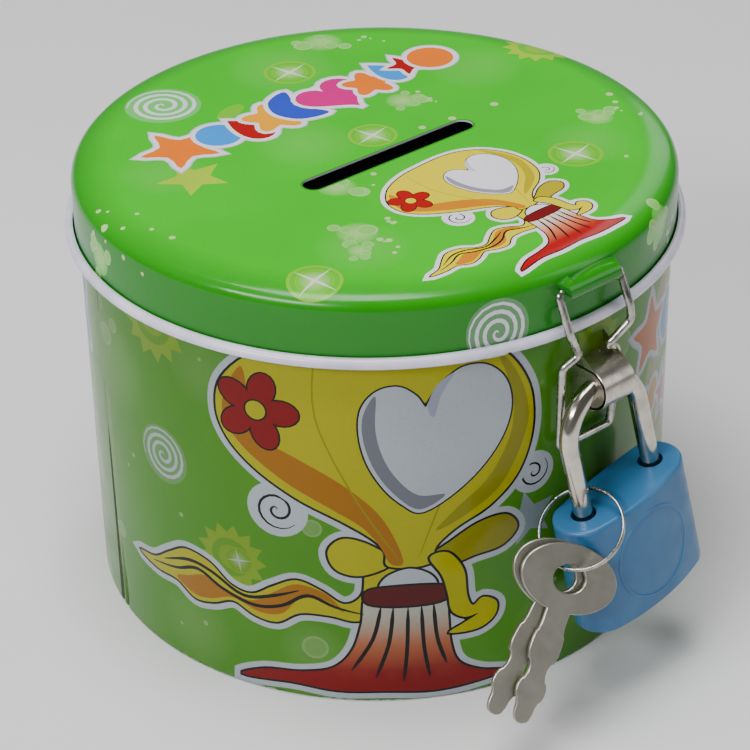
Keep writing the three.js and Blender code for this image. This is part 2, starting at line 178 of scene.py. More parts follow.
# The blade's outline on one side: distance below the bow's middle, half width.
KEY_BLADE = [
    (5.2, 2.1), (8.8, 2.1), (9.5, 2.7), (13.4, 2.7), (14.3, 1.6), (16.6, 1.6), (17.6, 2.6), (19.8, 2.6),
    (20.7, 1.7), (23.1, 1.6), (24.2, 0.8),
]
# Where each key hangs around the ring, and its tip, roll and turn, all in degrees.
KEY_PLACES = {"key_1": (-106, (-22, 30, -19.6)), "key_2": (-118, (-22, 38, -19.6))}

# The camera that was fitted to the photograph.
CAMERA_AIM = Vector((-0.4, 0.4, 32.7))
CAMERA_AZIMUTH = radians(-41.62)
CAMERA_ELEVATION = radians(31.92)
CAMERA_ROLL = radians(-1.034)
CAMERA_DISTANCE = 451.8
CAMERA_LENS = 123.35

# ---------------------------------------------------------------- printing inks


def ink(*screen):
    """A screen colour (red, green, blue from 0 to 255) as a linear colour."""
    return tuple(((c / 255 + 0.055) / 1.055) ** 2.4 if c > 10 else c / 255 / 12.92 for c in screen)


LID_GREEN = ink(48, 196, 16)
# Painted shade: the lid's green darkened for its skirt, which gets less light than the top.
SHADED_SKIRT_GREEN = ink(24, 132, 14)
CAN_GREEN = ink(100, 176, 30)
WHITE = ink(238, 236, 246)
LAVENDER = ink(205, 200, 228)
BLACK = ink(22, 18, 20)
YELLOW = ink(232, 214, 0)
GOLD = ink(214, 132, 4)
OLIVE = ink(188, 172, 6)
RED = ink(176, 6, 10)
DARK_RED = ink(120, 12, 16)
SALMON = ink(232, 128, 84)
CREAM = ink(240, 226, 210)
GREY = ink(150, 146, 160)
ORANGE = ink(246, 122, 10)
AMBER = ink(248, 166, 10)
SKY = ink(40, 150, 240)
ROYAL = ink(44, 72, 200)
MAGENTA = ink(214, 12, 130)
PEACH = ink(240, 190, 140)
LIME = ink(178, 206, 40)
DARK_GREEN = ink(24, 50, 12)
PALE_GREEN = ink(196, 226, 150)

Shape = namedtuple("Shape", "outline paint")
HOLE = "hole"


def mix(first, second, share):
    return tuple(a + (b - a) * share for a, b in zip(first, second))


# ---------------------------------------------------------------- outlines on a flat sheet


def full_turn(steps, shift=0):
    """Equally spaced angles around a circle."""
    return [2 * pi * (i + shift) / steps for i in range(steps)]


def set_down(points, x, y, turn):
    """Points turned about the origin and then moved to (x, y)."""
    c, s = cos(turn), sin(turn)
    return [(x + u * c - v * s, y + u * s + v * c) for u, v in points]


def ellipse(x, y, rx, ry=None, turn=0, steps=28):
    return set_down([(rx * cos(a), (ry or rx) * sin(a)) for a in full_turn(steps)], x, y, turn)


def smooth(points, closed=True, steps=5):
    """A flowing line through given points."""
    n = len(points)
    spans = n if closed else n - 1
    pick = (lambda i: points[i % n]) if closed else (lambda i: points[min(max(i, 0), n - 1)])
    line = []
    for i in range(spans):
        p0, p1, p2, p3 = (pick(i + k) for k in (-1, 0, 1, 2))
        for k in range(steps):
            t = k / steps
            spot = []
            for a, b, c, d in zip(p0, p1, p2, p3):
                bend, twist = 2 * a - 5 * b + 4 * c - d, 3 * b - a - 3 * c + d
                spot.append(0.5 * (2 * b + (c - a) * t + bend * t**2 + twist * t**3))
            line.append(tuple(spot))
    return line if closed else line + [points[-1]]


def area(outline):
    """Signed area: positive for an outline that turns left."""
    pairs = zip(outline, outline[1:] + outline[:1])
    return sum(a[0] * b[1] - b[0] * a[1] for a, b in pairs) / 2


def is_left_turning(outline):
    return area(outline) > 0


def grown(outline, amount):
    """The outline moved outwards by amount, or inwards if it is negative."""
    sign = 1 if is_left_turning(outline) else -1
    moved = []
    for i, (x, y) in enumerate(outline):
        ax, ay = outline[i - 1]
        bx, by = outline[(i + 1) % len(outline)]
        before = Vector((y - ay, ax - x)).normalized()
        after = Vector((by - y, x - bx)).normalized()
        way = (before + after).normalized()
        reach = amount / max(way.dot(after), 0.5)
        moved.append((x + sign * way.x * reach, y + sign * way.y * reach))
    return moved


def border(outline, width):
    """A wider outline around another, without the knots that form in tight corners."""
    wide = grown(outline, width)
    return [point for point in wide if min(dist(point, other) for other in outline) > 0.97 * width]


def stroke(line, width):
    """A pen line with tapered ends."""
    left, right = [], []
    last = len(line) - 1
    for i, (x, y) in enumerate(line):
        ax, ay = line[max(i - 1, 0)]
        bx, by = line[min(i + 1, last)]
        side = Vector((ay - by, bx - ax)).normalized() * width / 2
        side *= min(1, 0.25 + 4 * min(i, last - i) / last)
        left.append((x + side.x, y + side.y))
        right.append((x - side.x, y - side.y))
    return left + right[::-1]


def star(x, y, outer, inner, tips, turn=0):
    points = []
    for i in range(2 * tips):
        a = turn + pi * i / tips
        r = inner if i % 2 else outer
        points.append((x + r * cos(a), y + r * sin(a)))
    return points


def spiral_line(x, y, radius, turns, start):
    count = int(turns * 18)
    points = []
    for i in range(count + 1):
        a = start + 2 * pi * turns * i / count
        r = radius * (i / count) ** 0.8
        points.append((x + r * cos(a), y + r * sin(a)))
    return points


def heart(x, y, size, turn):
    points = []
    for a in full_turn(36, 0.5):
        height = 13 * cos(a) - 5 * cos(2 * a) - 2 * cos(3 * a) - cos(4 * a)
        points.append((size * sin(a) ** 3, size * height / 16))
    return set_down(points, x, y, turn)


def drop(x, y, size, turn):
    points = [(size * 0.75 * sin(a) * sin(a / 2), size * cos(a)) for a in full_turn(28)]
    return set_down(points, x, y, turn)


def moon(x, y, size):
    corners = [(0.3, 0.95), (-0.5, 0.75), (-0.85, 0), (-0.5, -0.75), (0.4, -0.95), (0, 0)]
    return smooth([(x + size * u, y + size * v) for u, v in corners])


def flower(x, y, size):
    """A disc with five soft lobes."""
    points = []
    for a in full_turn(50):
        reach = size * (0.78 + 0.2 * cos(5 * a))
        points.append((x + reach * cos(a), y + reach * sin(a)))
    return points


def petals(x, y, size, turn):
    """Five petal outlines around a centre."""
    made = []
    for i in range(5):
        a = turn + 2 * pi * i / 5
        made.append(ellipse(x + size * cos(a), y + size * sin(a), 0.72 * size, 0.54 * size, a, 18))
    return made


# ---------------------------------------------------------------- printed pictures


def plain(outline, colour):
    return [Shape(outline, lambda x, y: colour)]


def sticker(pieces, edge, line):
    """Cut-out pieces with one white border behind them all, and a black line around each."""
    shapes = []
    for outline, _ in pieces:
        shapes += plain(border(outline, edge), WHITE)
    for outline, paint in pieces:
        shapes += plain(border(outline, line), BLACK)
        shapes.append(Shape(outline, paint))
    return shapes


def glow(x, y, radius, colour, strength, ground):
    """A soft round patch of light that fades into the ground."""

    def paint(u, v):
        away = min(1, hypot(u - x, v - y) / radius)
        return mix(ground, colour, strength * (1 - away) ** 0.7)

    return [Shape(ellipse(x, y, radius * share, steps=20), paint) for share in (1, 0.85, 0.6, 0.3)]


def dot(x, y, radius, colour):
    return plain(ellipse(x, y, radius, steps=12), colour)


def bubble(x, y, radius, ground):
    """A pale see-through disc with a brighter rim."""
    rim = plain(ellipse(x, y, radius, steps=22), mix(ground, PALE_GREEN, 0.62))
    return rim + plain(ellipse(x, y, radius * 0.8, steps=22), mix(ground, PALE_GREEN, 0.38))


def cluster(x, y, radius, ground):
    """Bubbles that fade into one another, with small dots to one side."""
    count = 5
    shapes = glow(x, y, radius, PALE_GREEN, 0.75, ground)
    for _ in range(count):
        a = random.uniform(0, 2 * pi)
        away = radius * random.uniform(0.5, 1.3)
        size = radius * random.uniform(0.25, 0.5)
        shapes += bubble(x + away * cos(a), y + away * sin(a), size, ground)
    for _ in range(count):
        away = radius * random.uniform(1.4, 3)
        a = random.uniform(-0.9, 0.3)
        size = random.uniform(0.25, 0.6)
        shapes += dot(x + away * cos(a), y + away * sin(a), size, mix(ground, PALE_GREEN, 0.8))
    return shapes


def sparkle(x, y, radius, ground):
    """Two round halos with a four-pointed glint in them."""
    shapes = plain(ellipse(x, y, radius, steps=26), mix(ground, LIME, 0.5))
    shapes += plain(ellipse(x, y, radius * 0.88, steps=26), mix(ground, LIME, 0.16))
    shapes += plain(ellipse(x, y, radius * 0.7, steps=26), mix(ground, LIME, 0.42))
    shapes += glow(x, y, radius * 0.62, PALE_GREEN, 0.8, mix(ground, LIME, 0.16))
    shapes += plain(star(x, y, radius * 0.95, radius * 0.1, 4, 0.2), mix(PALE_GREEN, WHITE, 0.6))
    return shapes


def sun(x, y, radius, ground):
    """A spiky sun with an open middle."""
    rays = mix(ground, LIME, 0.75)
    shapes = plain(star(x, y, radius, radius * 0.74, 13), rays)
    shapes += plain(ellipse(x, y, radius * 0.56), mix(ground, LIME, 0.25))
    shapes += plain(ellipse(x, y, radius * 0.36), mix(ground, LIME, 0.6))
    return shapes


def swirl(x, y, radius, ground, start=0):
    """A pale disc with a white spiral drawn on it."""
    line = spiral_line(x, y, radius * 0.94, 3.4, start)
    disc = plain(ellipse(x, y, radius), mix(ground, WHITE, 0.14))
    return disc + plain(stroke(line, radius * 0.12), mix(ground, WHITE, 0.85))


def curl_sticker(x, y, radius, turn):
    """A white disc with a black curl, like a puff of cloud."""
    line = spiral_line(x, y, radius * 0.74, 1.7, turn)
    return plain(ellipse(x, y, radius), WHITE) + plain(stroke(line, 0.09 * radius), BLACK)


BALLOON = [
    (-37.5, 70.5), (-47, 69.5), (-56, 66), (-62, 60), (-63.3, 54), (-61.5, 49), (-57, 44.5), (-50, 40),
    (-43, 36.5), (-38, 33.2), (-35.8, 30.5), (-35.2, 27.6), (-28.8, 27.6), (-27.5, 31), (-24, 34.2),
    (-18.5, 37.2), (-14, 41.5), (-11.6, 47), (-11, 53), (-12.2, 59), (-16, 65), (-22, 69), (-29, 70.6),
]
BALLOON_SHADE = [
    (-58.5, 63), (-61.6, 57.5), (-61.9, 52.5), (-58.7, 48), (-52, 43), (-45, 39), (-39.5, 35.4),
    (-36.6, 31.6), (-35, 28.2), (-32.9, 28.2), (-34.2, 33), (-37.2, 38.5), (-42.6, 43.5), (-49, 47.3),
    (-55.4, 50.4), (-58.3, 54.5), (-57.6, 59),
]
BALLOON_GLOW = [
    (-12.2, 50), (-12.3, 56), (-14.6, 62), (-17.5, 65.6), (-15.6, 60), (-14.6, 54), (-15.6, 48.4),
    (-19, 42.4), (-24, 38), (-27.6, 34), (-22, 36.6), (-16.2, 41.2),
]
GORES = [
    [(-33.6, 29), (-41, 42), (-46.5, 56), (-46, 69)],
    [(-30.4, 29), (-26.5, 40), (-21, 52), (-20, 68)],
]
LEFT_RIBBON = [
    (-33.6, 28.6), (-38.6, 27.2), (-39.6, 22), (-42.6, 20), (-46.4, 22.4), (-50.4, 23.8), (-54.4, 21.8),
    (-58.4, 19.2), (-62.4, 19.8), (-66.4, 22.8), (-71.4, 23.4), (-75.4, 21), (-79.4, 18), (-84, 16.8),
    (-79, 15.8), (-74, 16), (-70, 14), (-66, 14.8), (-62, 16.6), (-58, 14.9), (-54, 14.6), (-50, 17.2),
    (-45, 17.4), (-40.6, 16.6), (-37, 18.6), (-35.4, 23),
]
LEFT_RIBBON_SHADE = [
    (-74, 16.6), (-70, 14.8), (-66.4, 15.4), (-62, 17.2), (-57, 15.8), (-53, 16.6), (-50, 20), (-46, 20.6),
    (-42.6, 18.2), (-45.6, 21.8), (-50.4, 23), (-54.4, 20.6), (-58.4, 17.8), (-63, 18.4), (-67.6, 19.6),
    (-71, 18.2),
]
LEFT_FOLDS = [
    [
        (-80, 17), (-74, 18.4), (-69, 20.4), (-64, 18.4), (-58, 17), (-53, 18.2), (-48.6, 21), (-44, 19.2),
        (-39.4, 18),
    ],
    [(-77, 18.8), (-71, 21.4), (-66, 21), (-60, 18.4), (-54.6, 19.8), (-50, 21.8)],
]
RIGHT_RIBBON = [
    (-28.6, 28.8), (-25.6, 29.4), (-23, 25.6), (-22.4, 20.4), (-21.4, 18), (-19.6, 19.2), (-17.2, 17.6),
    (-17.6, 14.8), (-20.5, 13), (-25.4, 13.2), (-22.6, 14.9), (-20.4, 16.1), (-22.8, 15.9), (-25, 17.6),
    (-25.6, 21), (-26.6, 25),
]
LEFT_BOW = [(-34.6, 28.4), (-38, 31.8), (-42.4, 33), (-45, 30.4), (-43.8, 26.8), (-39.6, 25.8)]
RIGHT_BOW = [
    (-29.4, 28.4), (-25.4, 31.4), (-20.6, 34.2), (-15.8, 34.6), (-13.6, 31.6), (-16.2, 28.8), (-21, 28),
    (-25.4, 27),
]
BASKET = [
    (-38.6, 22.4), (-32, 22.8), (-26.2, 22.4), (-25.6, 17), (-25.2, 11.4), (-23.8, 7), (-20, 4.4),
    (-15.6, 2.9), (-21, 2.1), (-28, 1.7), (-36, 2.2), (-44, 2), (-52, 2.6), (-61, 1.7), (-56.4, 4.3),
    (-50, 5.2), (-44.6, 6.8), (-41.4, 10.6), (-39.8, 16),
]
BASKET_BAND = [(-38.7, 20.2), (-32, 19.6), (-26.1, 20.2), (-26.1, 22.9), (-32, 23.6), (-38.5, 22.9)]
BASKET_RIM = [(-36.6, 23.2), (-32, 23.8), (-27.6, 23.2), (-28.6, 25.6), (-32, 27), (-35.6, 25.6)]
BASKET_FOLDS = [
    [(-36.6, 19.6), (-38, 13), (-41.6, 6.4)],
    [(-34.6, 19.4), (-35.4, 12), (-37.6, 5)],
    [(-32.2, 19.2), (-32.4, 11), (-33, 4)],
    [(-30, 19.4), (-29.6, 11), (-28.6, 4.6)],
    [(-28, 19.6), (-27.4, 12.6), (-25.8, 7)],
]
HEART = [
    (-29.2, 57.6), (-30.6, 59.8), (-33.4, 61.6), (-36.8, 60.8), (-39.2, 57.6), (-39.6, 52.8), (-38.4, 47.4),
    (-35.8, 42.6), (-32.8, 39.4), (-30, 37.8), (-25.6, 40), (-20.4, 44.4), (-16.6, 49.6), (-15, 55),
    (-16, 60.2), (-19.2, 63.6), (-23.2, 64), (-26.6, 61.6), (-28.6, 58.6),
]
HEART_SHADE = [
    (-36.9, 60), (-38.9, 56.4), (-38.9, 51.6), (-37.2, 46.2), (-34.2, 41.6), (-30.2, 38.4), (-26, 40.8),
    (-30.4, 41.2), (-33.8, 44.6), (-36, 49), (-37, 54),
]
HEART_TOP = [(-28.8, 57.6), (-27.4, 61.2), (-24.6, 63.2), (-26.6, 59.6), (-27.8, 55.6)]
MOTIF_CENTRE = -36


def basket_paint(place):
    """Cream at the waist, through orange, to deep red at the hem."""
    low, middle, high = (place([(0, v)])[0][1] for v in (6, 12, 18))

    def paint(u, v):
        if v < middle:
            return mix(RED, SALMON, max(0, (v - low) / (middle - low)))
        return mix(SALMON, CREAM, min(1, (v - middle) / (high - middle)))

    return paint


def balloon_motif(scale, x, y):
    """A generic yellow balloon with a heart and a flower on it, ribbons, and a flared cloth basket."""

    def place(points):
        return [(x + scale * (u - MOTIF_CENTRE), y + scale * v) for u, v in points]

    def curve(points):
        return smooth(place(points))

    def pen(points, width):
        return plain(stroke(smooth(place(points), False), width * scale), BLACK)

    def flat(colour):
        return lambda u, v: colour

    edge = 1.5 * scale**0.7
    line = 0.42 * scale**0.9
    (cx, cy), (rx, ry), (fx, fy) = place([(-53.2, 37.2), (-10.8, 41.2), (-56.2, 55.4)])
    shapes = curl_sticker(cx, cy, 5.2 * scale, 1.2) + curl_sticker(rx, ry, 3.9 * scale, 2.6)
    shapes += sticker(
        [
            (curve(LEFT_RIBBON), flat(YELLOW)),
            (curve(LEFT_BOW), flat(YELLOW)),
            (curve(RIGHT_BOW), flat(OLIVE)),
            (curve(BASKET), basket_paint(place)),
            (curve(BALLOON), flat(YELLOW)),
            (curve(BASKET_RIM), flat(WHITE)),
            (curve(BASKET_BAND), flat(DARK_RED)),
            (curve(RIGHT_RIBBON), flat(YELLOW)),
        ],
        edge,
        line,
    )
    shapes += plain(curve(LEFT_RIBBON_SHADE), GOLD)
    for fold in LEFT_FOLDS + BASKET_FOLDS:
        shapes += pen(fold, 0.66)
    shapes += plain(curve(BALLOON_SHADE), GOLD) + plain(curve(BALLOON_GLOW), OLIVE)
    for gore in GORES:
        shapes += plain(stroke(smooth(place(gore), False), 0.3 * scale), OLIVE)
    shapes += plain(border(curve(HEART), 0.3 * scale), BLACK) + plain(curve(HEART), WHITE)
    shapes += plain(curve(HEART_SHADE), GREY) + plain(curve(HEART_TOP), LAVENDER)
    blossom = petals(fx, fy, 4.2 * scale, radians(74))
    for petal in blossom:
        shapes += plain(border(petal, 0.3 * scale), BLACK)
    for petal in blossom:
        shapes += plain(petal, RED)
    shapes += plain(ellipse(fx, fy, 2 * scale), BLACK) + plain(ellipse(fx, fy, 1.7 * scale), YELLOW)
    return shapes


def garland(items, edge):
    """Small bright cut-outs in a row, each with a white border. Items are (outline, colour)."""
    shapes = []
    for outline, _ in items:
        shapes += plain(border(outline, edge * 1.35), LAVENDER)
    for outline, colour in items:
        shapes += plain(border(outline, edge), WHITE) + plain(outline, colour)
    return shapes


def rounded_star(x, y, size, turn):
    return smooth(star(x, y, size, size * 0.5, 5, turn), True, 3)


def garland_items(places, size):
    """One generic shape for each (x, y, share of size, kind, colour)."""
    made = []
    for x, y, share, kind, colour in places:
        r = size * share
        outlines = {
            "star": rounded_star(x, y, r, 0.3),
            "disc": ellipse(x, y, r * 0.85),
            "heart": heart(x, y, r * 0.95, 0.12),
            "drop": drop(x, y, r, 0.2),
            "flower": flower(x, y, r),
            "moon": moon(x, y, r),
        }
        made.append((outlines[kind], colour))
    return made


# ---------------------------------------------------------------- meshes


def link(name, verts, faces, materials):
    """A new object from millimetre coordinates."""
    mesh = bpy.data.meshes.new(name)
    mesh.from_pydata([Vector(v) * MM for v in verts], [], faces)
    mesh.validate()
    for material in materials:
        mesh.materials.append(material)
    made = bpy.data.objects.new(name, mesh)
    bpy.context.scene.collection.objects.link(made)
    return made


def shade(piece, angle):
    """Smooth shading, with edges sharper than the angle left crisp."""
    piece.data.polygons.foreach_set("use_smooth", [True] * len(piece.data.polygons))
    piece.data.set_sharp_from_angle(angle=radians(angle))
    return piece


def settle(piece, body, slot, *nodes):
    """Says which body a piece moves with and which CAD nodes it stands for; the slot argument is not used.
    """
    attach(piece, body)
    if nodes:
        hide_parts(*nodes)
    return piece


def arc(x, y, radius, start, end, step):
    """Points of a circular arc, angles in degrees."""
    steps = max(2, round(abs(end - start) / step))
    points = []
    for i in range(steps + 1):
        a = radians(start + (end - start) * i / steps)
        points.append((x + radius * cos(a), y + radius * sin(a)))
    return points


class Profile:
    """A bent sheet's section: (radius, height) points, looked up by length along the sheet."""

    def __init__(self, points, length_at_start):
        self.points = points
        self.lengths = [length_at_start]
        for (ax, ay), (bx, by) in zip(points, points[1:]):
            self.lengths.append(self.lengths[-1] + hypot(bx - ax, by - ay))

    def at(self, length):
        """Position and outward direction."""
        low, high = 0, len(self.lengths) - 2
        while low < high:
            middle = (low + high + 1) // 2
            if self.lengths[middle] <= length:
                low = middle
            else:
                high = middle - 1
        (ax, ay), (bx, by) = self.points[low], self.points[low + 1]
        span = self.lengths[low + 1] - self.lengths[low]
        t = (length - self.lengths[low]) / span
        before, after = self._tilt(low, -1), self._tilt(low, 1)
        tilt = before + (after - before) * min(max(t, 0), 1)
        return ax + (bx - ax) * t, ay + (by - ay) * t, tilt

    def _direction(self, i):
        (ax, ay), (bx, by) = self.points[i], self.points[i + 1]
        return atan2(by - ay, bx - ax)

    def _tilt(self, i, side):
        """Direction of the section at one end of a span, averaged with its neighbour on smooth bends."""
        own = self._direction(i)
        j = min(max(i + side, 0), len(self.points) - 2)
        other = self._direction(j)
        change = (other - own + pi) % (2 * pi) - pi
        return own + change / 2 if abs(change) < 0.3 else own


def ready(outline):
    """The outline turning left from its lowest point, without repeats, or None if it has no area."""
    after = outline[1:] + outline[:1]
    kept = [p for p, q in zip(outline, after) if dist(p, q) > 0.02]
    if len(kept) < 3 or abs(area(kept)) < 0.01:
        return None
    if not is_left_turning(kept):
        kept.reverse()
    low = min(range(len(kept)), key=lambda i: (kept[i][1], kept[i][0]))
    return kept[low:] + kept[:low]


def sheet_metal(name, points, shapes, place, materials):
    """A sheet cut along every printed outline, coloured, bent by place() and given its thickness.

    The first shape is the whole sheet. Whatever reaches past its outline is cut off.
    """
    coords = [Vector(p) for p in points]
    owners_in = []
    shapes = [Shape(ready(shape.outline), shape.paint) for shape in shapes]
    shapes = [shape for shape in shapes if shape.outline]
    for shape in shapes:
        first = len(coords)
        coords += [Vector(p) for p in shape.outline]
        owners_in.append(list(range(first, len(coords))))
    flat, _, triangles, _, _, owners = geometry.delaunay_2d_cdt(coords, [], owners_in, 0, 1e-4)
    edge = ready(shapes[0].outline)
    lowest, highest = min(y for _, y in edge), max(y for _, y in edge)
    leftmost, rightmost = min(x for x, _ in edge), max(x for x, _ in edge)
    flat = [Vector((min(max(x, leftmost), rightmost), min(max(y, lowest), highest))) for x, y in flat]
    index, verts, normals, welded = {}, [], [], []
    for spot in flat:
        position, normal = place(spot.x, spot.y)
        rounded = tuple(round(c, 3) for c in position)
        if rounded not in index:
            index[rounded] = len(verts)
            verts.append(position)
            normals.append(normal)
        welded.append(index[rounded])
    outer, colours = [], []
    for triangle, owned in zip(triangles, owners):
        corners = [welded[i] for i in triangle]
        paint = shapes[max(owned)].paint if 0 in owned else HOLE
        if paint == HOLE or len(set(corners)) < 3:
            continue
        outer.append(corners)
        colours += [(*paint(*flat[i]), 1) for i in triangle]
    count = len(verts)
    inside = [v - n * SHEET for v, n in zip(verts, normals)]
    inner = [[i + count for i in reversed(face)] for face in outer]
    edges = {}  # keeps the order that the edges are met in
    for face in outer:
        for a, b in zip(face, face[1:] + face[:1]):
            edges[(a, b)] = True
    rims = [[b, a, a + count, b + count] for a, b in edges if (b, a) not in edges]
    piece = link(name, verts + inside, outer + inner + rims, materials)
    mesh = piece.data
    attribute = mesh.color_attributes.new(name="ink", type="FLOAT_COLOR", domain="CORNER")
    filler = [(0.5, 0.5, 0.5, 1)] * (len(mesh.loops) - len(colours))
    attribute.data.foreach_set("color", [c for colour in colours + filler for c in colour])
    mesh.polygons.foreach_set("use_smooth", [True] * len(mesh.polygons))
    split = []
    for face in mesh.polygons:
        is_rim = face.index >= len(outer) + len(inner)
        face.material_index = 0 if face.index < len(outer) else 1
        for vertex in face.vertices:
            if is_rim:
                split.append(face.normal)
            else:
                split.append(normals[vertex] if vertex < count else -normals[vertex - count])
    mesh.normals_split_custom_set(split)
    return piece


def tube(points, radii, sides, closed=False):
    """Vertices and faces of a round rod along a line, with its radius at each point."""
    points = [Vector(p) for p in points]
    count = len(points)
    verts, faces = [], []
    side = None
    for i, point in enumerate(points):
        ahead = points[(i + 1) % count] if closed or i + 1 < count else point
        behind = points[i - 1] if closed or i else point
        way = (ahead - behind).normalized()
        if side is None:
            side = way.orthogonal().normalized()
        side = (side - way * side.dot(way)).normalized()
        other = way.cross(side)
        verts += [point + (side * cos(a) + other * sin(a)) * radii[i] for a in full_turn(sides)]
    for i in range(count if closed else count - 1):
        for k in range(sides):
            a, b = i * sides + k, i * sides + (k + 1) % sides
            c, d = ((i + 1) % count) * sides + k, ((i + 1) % count) * sides + (k + 1) % sides
            faces.append([a, b, d, c])
    if not closed:
        faces.append(list(range(sides))[::-1])
        faces.append([(count - 1) * sides + k for k in range(sides)])
    return verts, faces


def rounded_ends(points, radius):
    """The same line with both tips drawn in, and the radius at each point."""
    first, last = Vector(points[0]), Vector(points[-1])
    start = (first - Vector(points[1])).normalized()
    end = (last - Vector(points[-2])).normalized()
    tip = 0.35 * radius
    line = [first, first - start * tip, *points[1:-1], last - end * tip, last]
    return line, [radius * 0.7, radius, *[radius] * (len(points) - 2), radius, radius * 0.7]


def eased(corners, bend):
    """A line through the corners with each corner rounded."""
    steps = 6
    corners = [Vector(c) for c in corners]
    line = [corners[0]]
    for before, corner, after in zip(corners, corners[1:], corners[2:]):
        a = corner + (before - corner).normalized() * bend
        b = corner + (after - corner).normalized() * bend
        for i in range(steps + 1):
            t = i / steps
            line.append(a * (1 - t) ** 2 + corner * 2 * t * (1 - t) + b * t**2)
    line.append(corners[-1])
    return line


def plate(outline, holes, thick, bevel):
    """A flat plate in XY with chamfered edges, from -thick / 2 to thick / 2."""
    loops = [outline, *holes]
    levels = [(-bevel, thick / 2), (0, thick / 2 - bevel), (0, bevel - thick / 2), (-bevel, -thick / 2)]
    verts, faces, starts = [], [], []
    for depth, (inset, z) in enumerate(levels):
        starts.append([])
        for n, loop in enumerate(loops):
            starts[depth].append(len(verts))
            verts += [(x, y, z) for x, y in grown(loop, inset if n == 0 else -inset)]
    for n, loop in enumerate(loops):
        outward = is_left_turning(loop) == (n == 0)
        for depth in range(len(levels) - 1):
            for i in range(len(loop)):
                j = (i + 1) % len(loop)
                a, b = starts[depth][n] + i, starts[depth][n] + j
                c, d = starts[depth + 1][n] + j, starts[depth + 1][n] + i
                faces.append([a, d, c, b] if outward else [a, b, c, d])
    count = starts[1][0]
    coords = [Vector(v[:2]) for v in verts[:count]]
    rings = []
    for n, loop in enumerate(loops):
        rings.append([starts[0][n] + i for i in range(len(loop))])
    _, _, triangles, _, _, owners = geometry.delaunay_2d_cdt(coords, [], rings, 0, 1e-6)
    below = starts[3][0]
    for triangle, owned in zip(triangles, owners):
        if list(owned) == [0]:
            faces.append(list(triangle))
            faces.append([i + below for i in reversed(triangle)])
    return verts, faces


def loft(rings):
    """Joins equal rings into one closed body."""
    count = len(rings[0])
    verts = [v for ring in rings for v in ring]
    faces = [list(range(count))[::-1]]
    for level in range(len(rings) - 1):
        for i in range(count):
            a, b = level * count + i, level * count + (i + 1) % count
            faces.append([a, b, b + count, a + count])
    faces.append([(len(rings) - 1) * count + i for i in range(count)])
    return verts, faces


def placed(name, solid, matrix, material, angle=None):
    """A body (vertices and faces) set down by a matrix. An angle also gives it smooth shading."""
    verts, faces = solid
    piece = link(name, [matrix @ Vector(v) for v in verts], faces, [material])
    return shade(piece, angle) if angle else piece


def carve(piece, hollows, material):
    """Cuts bodies in the padlock's own frame out of a piece of it, and keeps the result as its mesh."""
    cutters = [placed(f"cutter_{n}", hollow, LOCK_PLACE, material) for n, hollow in enumerate(hollows)]
    for cutter in cutters:
        modifier = piece.modifiers.new("cut", "BOOLEAN")
        modifier.operation = "DIFFERENCE"
        modifier.solver = "EXACT"
        modifier.object = cutter
    graph = bpy.context.evaluated_depsgraph_get()
    cut = bpy.data.meshes.new_from_object(piece.evaluated_get(graph))
    piece.modifiers.clear()
    piece.data = cut
    for cutter in cutters:
        bpy.data.objects.remove(cutter)
    return piece


# ---------------------------------------------------------------- materials


class Look:
    """A material under construction: a few nodes in front of one shader."""

    def __init__(self, name, **sockets):
        self.material = bpy.data.materials.new(name)
        self.material.use_nodes = True
        self.tree = self.material.node_tree
        self.shader = self.tree.nodes["Principled BSDF"]
        self.feed(self.shader, {name.replace("_", " "): value for name, value in sockets.items()})
        self.place = self.tree.nodes.new("ShaderNodeTexCoord").outputs["Object"]

    def feed(self, node, inputs):
        """Sets inputs of a node, each to a plain value or to another node's output."""
        for name, value in inputs.items():
            socket = node.inputs[name]
            if isinstance(value, bpy.types.NodeSocket):
                self.tree.links.new(value, socket)
            else:
                socket.default_value = (*value, 1) if socket.type == "RGBA" else value

    def node(self, kind, output, **inputs):
        made = self.tree.nodes.new(kind)
        self.feed(made, {name.replace("_", " "): value for name, value in inputs.items()})
        return made.outputs[output]

    def noise(self, size_mm, detail, stretch=(1, 1, 1)):
        """Cloudy variation with features of about this size."""
        spot = self.node("ShaderNodeMapping", "Vector", Vector=self.place, Scale=stretch)
        return self.node("ShaderNodeTexNoise", "Fac", Vector=spot, Scale=1 / (size_mm * MM), Detail=detail)

    def range(self, source, low, high):
        """Stretches the middle of a noise, where most of its values are, between two limits."""
        limits = dict(From_Min=0.3, From_Max=0.7, To_Min=low, To_Max=high)
        return self.node("ShaderNodeMapRange", "Result", Value=source, **limits)

    def blend(self, share, first, second, mode="MIX"):
        """Mixes two colours by a share."""
        mixer = self.tree.nodes.new("ShaderNodeMix")
        mixer.data_type = "RGBA"
        mixer.blend_type = mode
        self.feed(mixer, {0: share, 6: first, 7: second})
        return mixer.outputs[2]

    def colour(self, source):
        self.feed(self.shader, {"Base Color": source})

    def rough(self, source, low, high):
        self.feed(self.shader, {"Roughness": (low + high) / 2})
        self.feed(self.shader, {"Roughness": self.range(source, low, high)})

    def bump(self, source, height_mm, strength):
        inputs = dict(Strength=strength, Distance=height_mm * MM, Height=source)
        self.feed(self.shader, {"Normal": self.node("ShaderNodeBump", "Normal", **inputs)})


